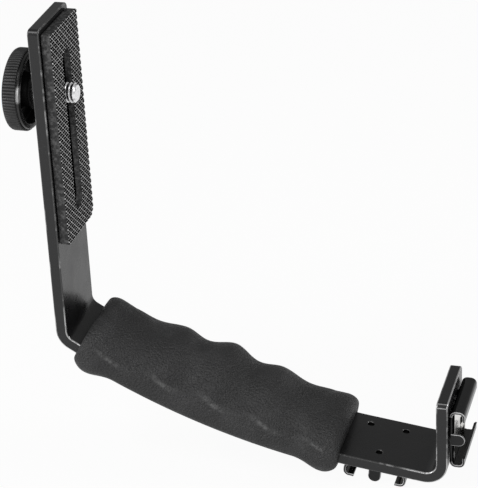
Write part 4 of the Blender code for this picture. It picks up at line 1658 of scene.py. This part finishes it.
@dataclass
class Studio:
    """White table, soft lamps and the camera."""

    camera_place: Vector = field(default_factory=lambda: Vector((0.2226, -0.5486, 0.33335)))
    right: Vector = field(default_factory=lambda: Vector((0.96212, 0.26901, -0.04421)))
    ahead: Vector = field(default_factory=lambda: Vector((-0.25799, 0.84603, -0.46656)))
    lens: float = 153.35
    table_colour: tuple[float, float, float] = (0.86, 0.86, 0.86)
    room: float = 0.2
    room_mirrored: float = 0.1

    def build(self, place: Matrix, floor: float) -> None:
        """Makes everything round the object.

        Args:
            place: From the bracket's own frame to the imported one.
            floor: Height of the table.
        """
        self.build_camera(place)
        self.build_table(floor)
        self.build_world()
        self.build_lamps()

    def build_camera(self, place: Matrix) -> None:
        """Stands the camera where the photograph was taken."""
        data = bpy.data.cameras.new("camera")
        data.sensor_width = 36
        data.lens = self.lens
        data.clip_start = 0.01
        camera = bpy.data.objects.new("camera", data)
        bpy.context.scene.collection.objects.link(camera)
        back = -self.ahead
        above = back.cross(self.right)
        turn = Matrix((self.right, above, back)).transposed().to_4x4()
        camera.matrix_world = Matrix.Translation(place @ self.camera_place) @ turn
        bpy.context.scene.camera = camera

    def build_table(self, floor: float) -> None:
        """Makes the white table, which keeps a faint shadow."""
        table = Shaper.start("table", bpy.ops.mesh.primitive_plane_add, size=8, location=(0, 0, floor - 0.0001))
        graph = Graph("table")
        plain = graph.add("ShaderNodeBsdfDiffuse", {}, {"Color": (*self.table_colour, 1)})
        glow = graph.add("ShaderNodeEmission", {}, {"Color": (1, 1, 1, 1), "Strength": 1.0})
        shader = graph.add("ShaderNodeMixShader", {}, {0: graph.rays(0.94, 0.58, 0.94), 1: plain, 2: glow})
        table.piece.data.materials.append(graph.close(shader))
        table.piece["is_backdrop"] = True

    def build_world(self) -> None:
        """Makes a plain pale room that is white to the camera."""
        graph = Graph("room", bpy.data.worlds)
        strength = graph.rays(1 - self.room, self.room_mirrored, 1 - self.room) + self.room
        white = graph.add("ShaderNodeBackground", {}, {"Color": (1, 1, 1, 1), "Strength": strength})
        bpy.context.scene.world = graph.close(white, "ShaderNodeOutputWorld")

    def build_lamps(self) -> None:
        """Hangs four soft lamps: high and low at the left, at the front right and at the right."""
        plans = (
            ("lamp at the front left", (-0.45, -0.47, 0.95), (0, 0, 0.05), 0.45, 3.5),
            ("low lamp at the left", (-0.95, -0.85, 0.42), (0, 0, 0.03), 0.3, 8.0),
            ("lamp at the front right", (0.35, -1.1, 0.5), (0, 0, 0.06), 0.6, 5.0),
            ("lamp at the right", (0.95, 0.3, 0.5), (0, 0, 0.06), 0.4, 4.0),
        )
        for name, spot, target, size, power in plans:
            data = bpy.data.lights.new(name, "AREA")
            data.shape = "SQUARE"
            data.size = size
            data.energy = power
            lamp = bpy.data.objects.new(name, data)
            bpy.context.scene.collection.objects.link(lamp)
            lamp.location = spot
            lamp.rotation_euler = (Vector(target) - Vector(spot)).to_track_quat("-Z", "Y").to_euler()


def plain(corner: Vector) -> list[float]:
    """A corner as a plain list."""
    return [float(value) for value in corner]


def main() -> None:
    """Builds every piece, the studio and the camera."""
    logging.basicConfig(level=logging.INFO, format="%(message)s")
    cad_box = [plain(corner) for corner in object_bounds()]
    line = BracketLine()
    pad = PadSizes()
    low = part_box("camera_pad")[0]
    origin = Vector((low.x - FIT_GAP, low.y + pad.width / 2, low.z - (pad.top(line) - pad.length)))
    place = Matrix.Translation(origin)

    shoe = AccessoryShoe()
    places = {"lower_shoe": line.surface("end", 0.0058, -1), "upper_shoe": line.surface("flange", 0.00885, -1)}
    spots = [seat @ Matrix.Translation((x, y, 0)) for seat in places.values() for x, y in shoe.screw_spots]
    bar = BentBar(line, pad).build(spots, place)
    bar.stand_for(Body.BRACKET, Slot.BAR, "bracket_bar")
    CameraPad(line, pad).build(place).stand_for(Body.BRACKET, Slot.PAD, "camera_pad")
    grip = HandGrip(line).build(place)
    grip.stand_for(Body.BRACKET, Slot.GRIP, "grip_sleeve")

    turning = ScrewAndKnob(line)
    axis = place @ Matrix.Translation((0, 0, pad.screw_height(line)))
    turning.build_screw(axis).stand_for(Body.SCREW, Slot.CHROME, "camera_screw")
    turning.build_knob(axis).stand_for(Body.SCREW, Slot.KNOB, "knob")
    nylon, steel = turning.build_washers(axis)
    nylon.stand_for(Body.GUIDE, Slot.NYLON, "retaining_washer")
    steel.stand_for(Body.CARRIER, Slot.WASHER, "clamp_washer")

    patterns = {"": (shoe.build_shoe(), Slot.SHOE), "_spring": (shoe.build_spring(), Slot.SPRING)}
    screw = shoe.build_screw(line)
    for name, seat in places.items():
        for suffix, (pattern, slot) in patterns.items():
            twin = pattern.copy("folded_" + name + suffix).settle(place @ seat)
            twin.stand_for(Body.BRACKET, slot, name + suffix)
        for number, (x, y) in enumerate(shoe.screw_spots, 1):
            twin = screw.copy(f"{name}_fixing_{number}").settle(place @ seat @ Matrix.Translation((x, y, 0)))
            twin.stand_for(Body.BRACKET, Slot.FIXING, f"{name}_screw_{number}")
    for pattern in (*(pattern for pattern, _ in patterns.values()), screw):
        bpy.data.objects.remove(pattern.piece, do_unlink=True)

    Studio().build(place, cad_box[0][2])
    bpy.context.scene.view_settings.view_transform = "Standard"
    bpy.context.view_layer.update()


if __name__ == "__main__":
    main()
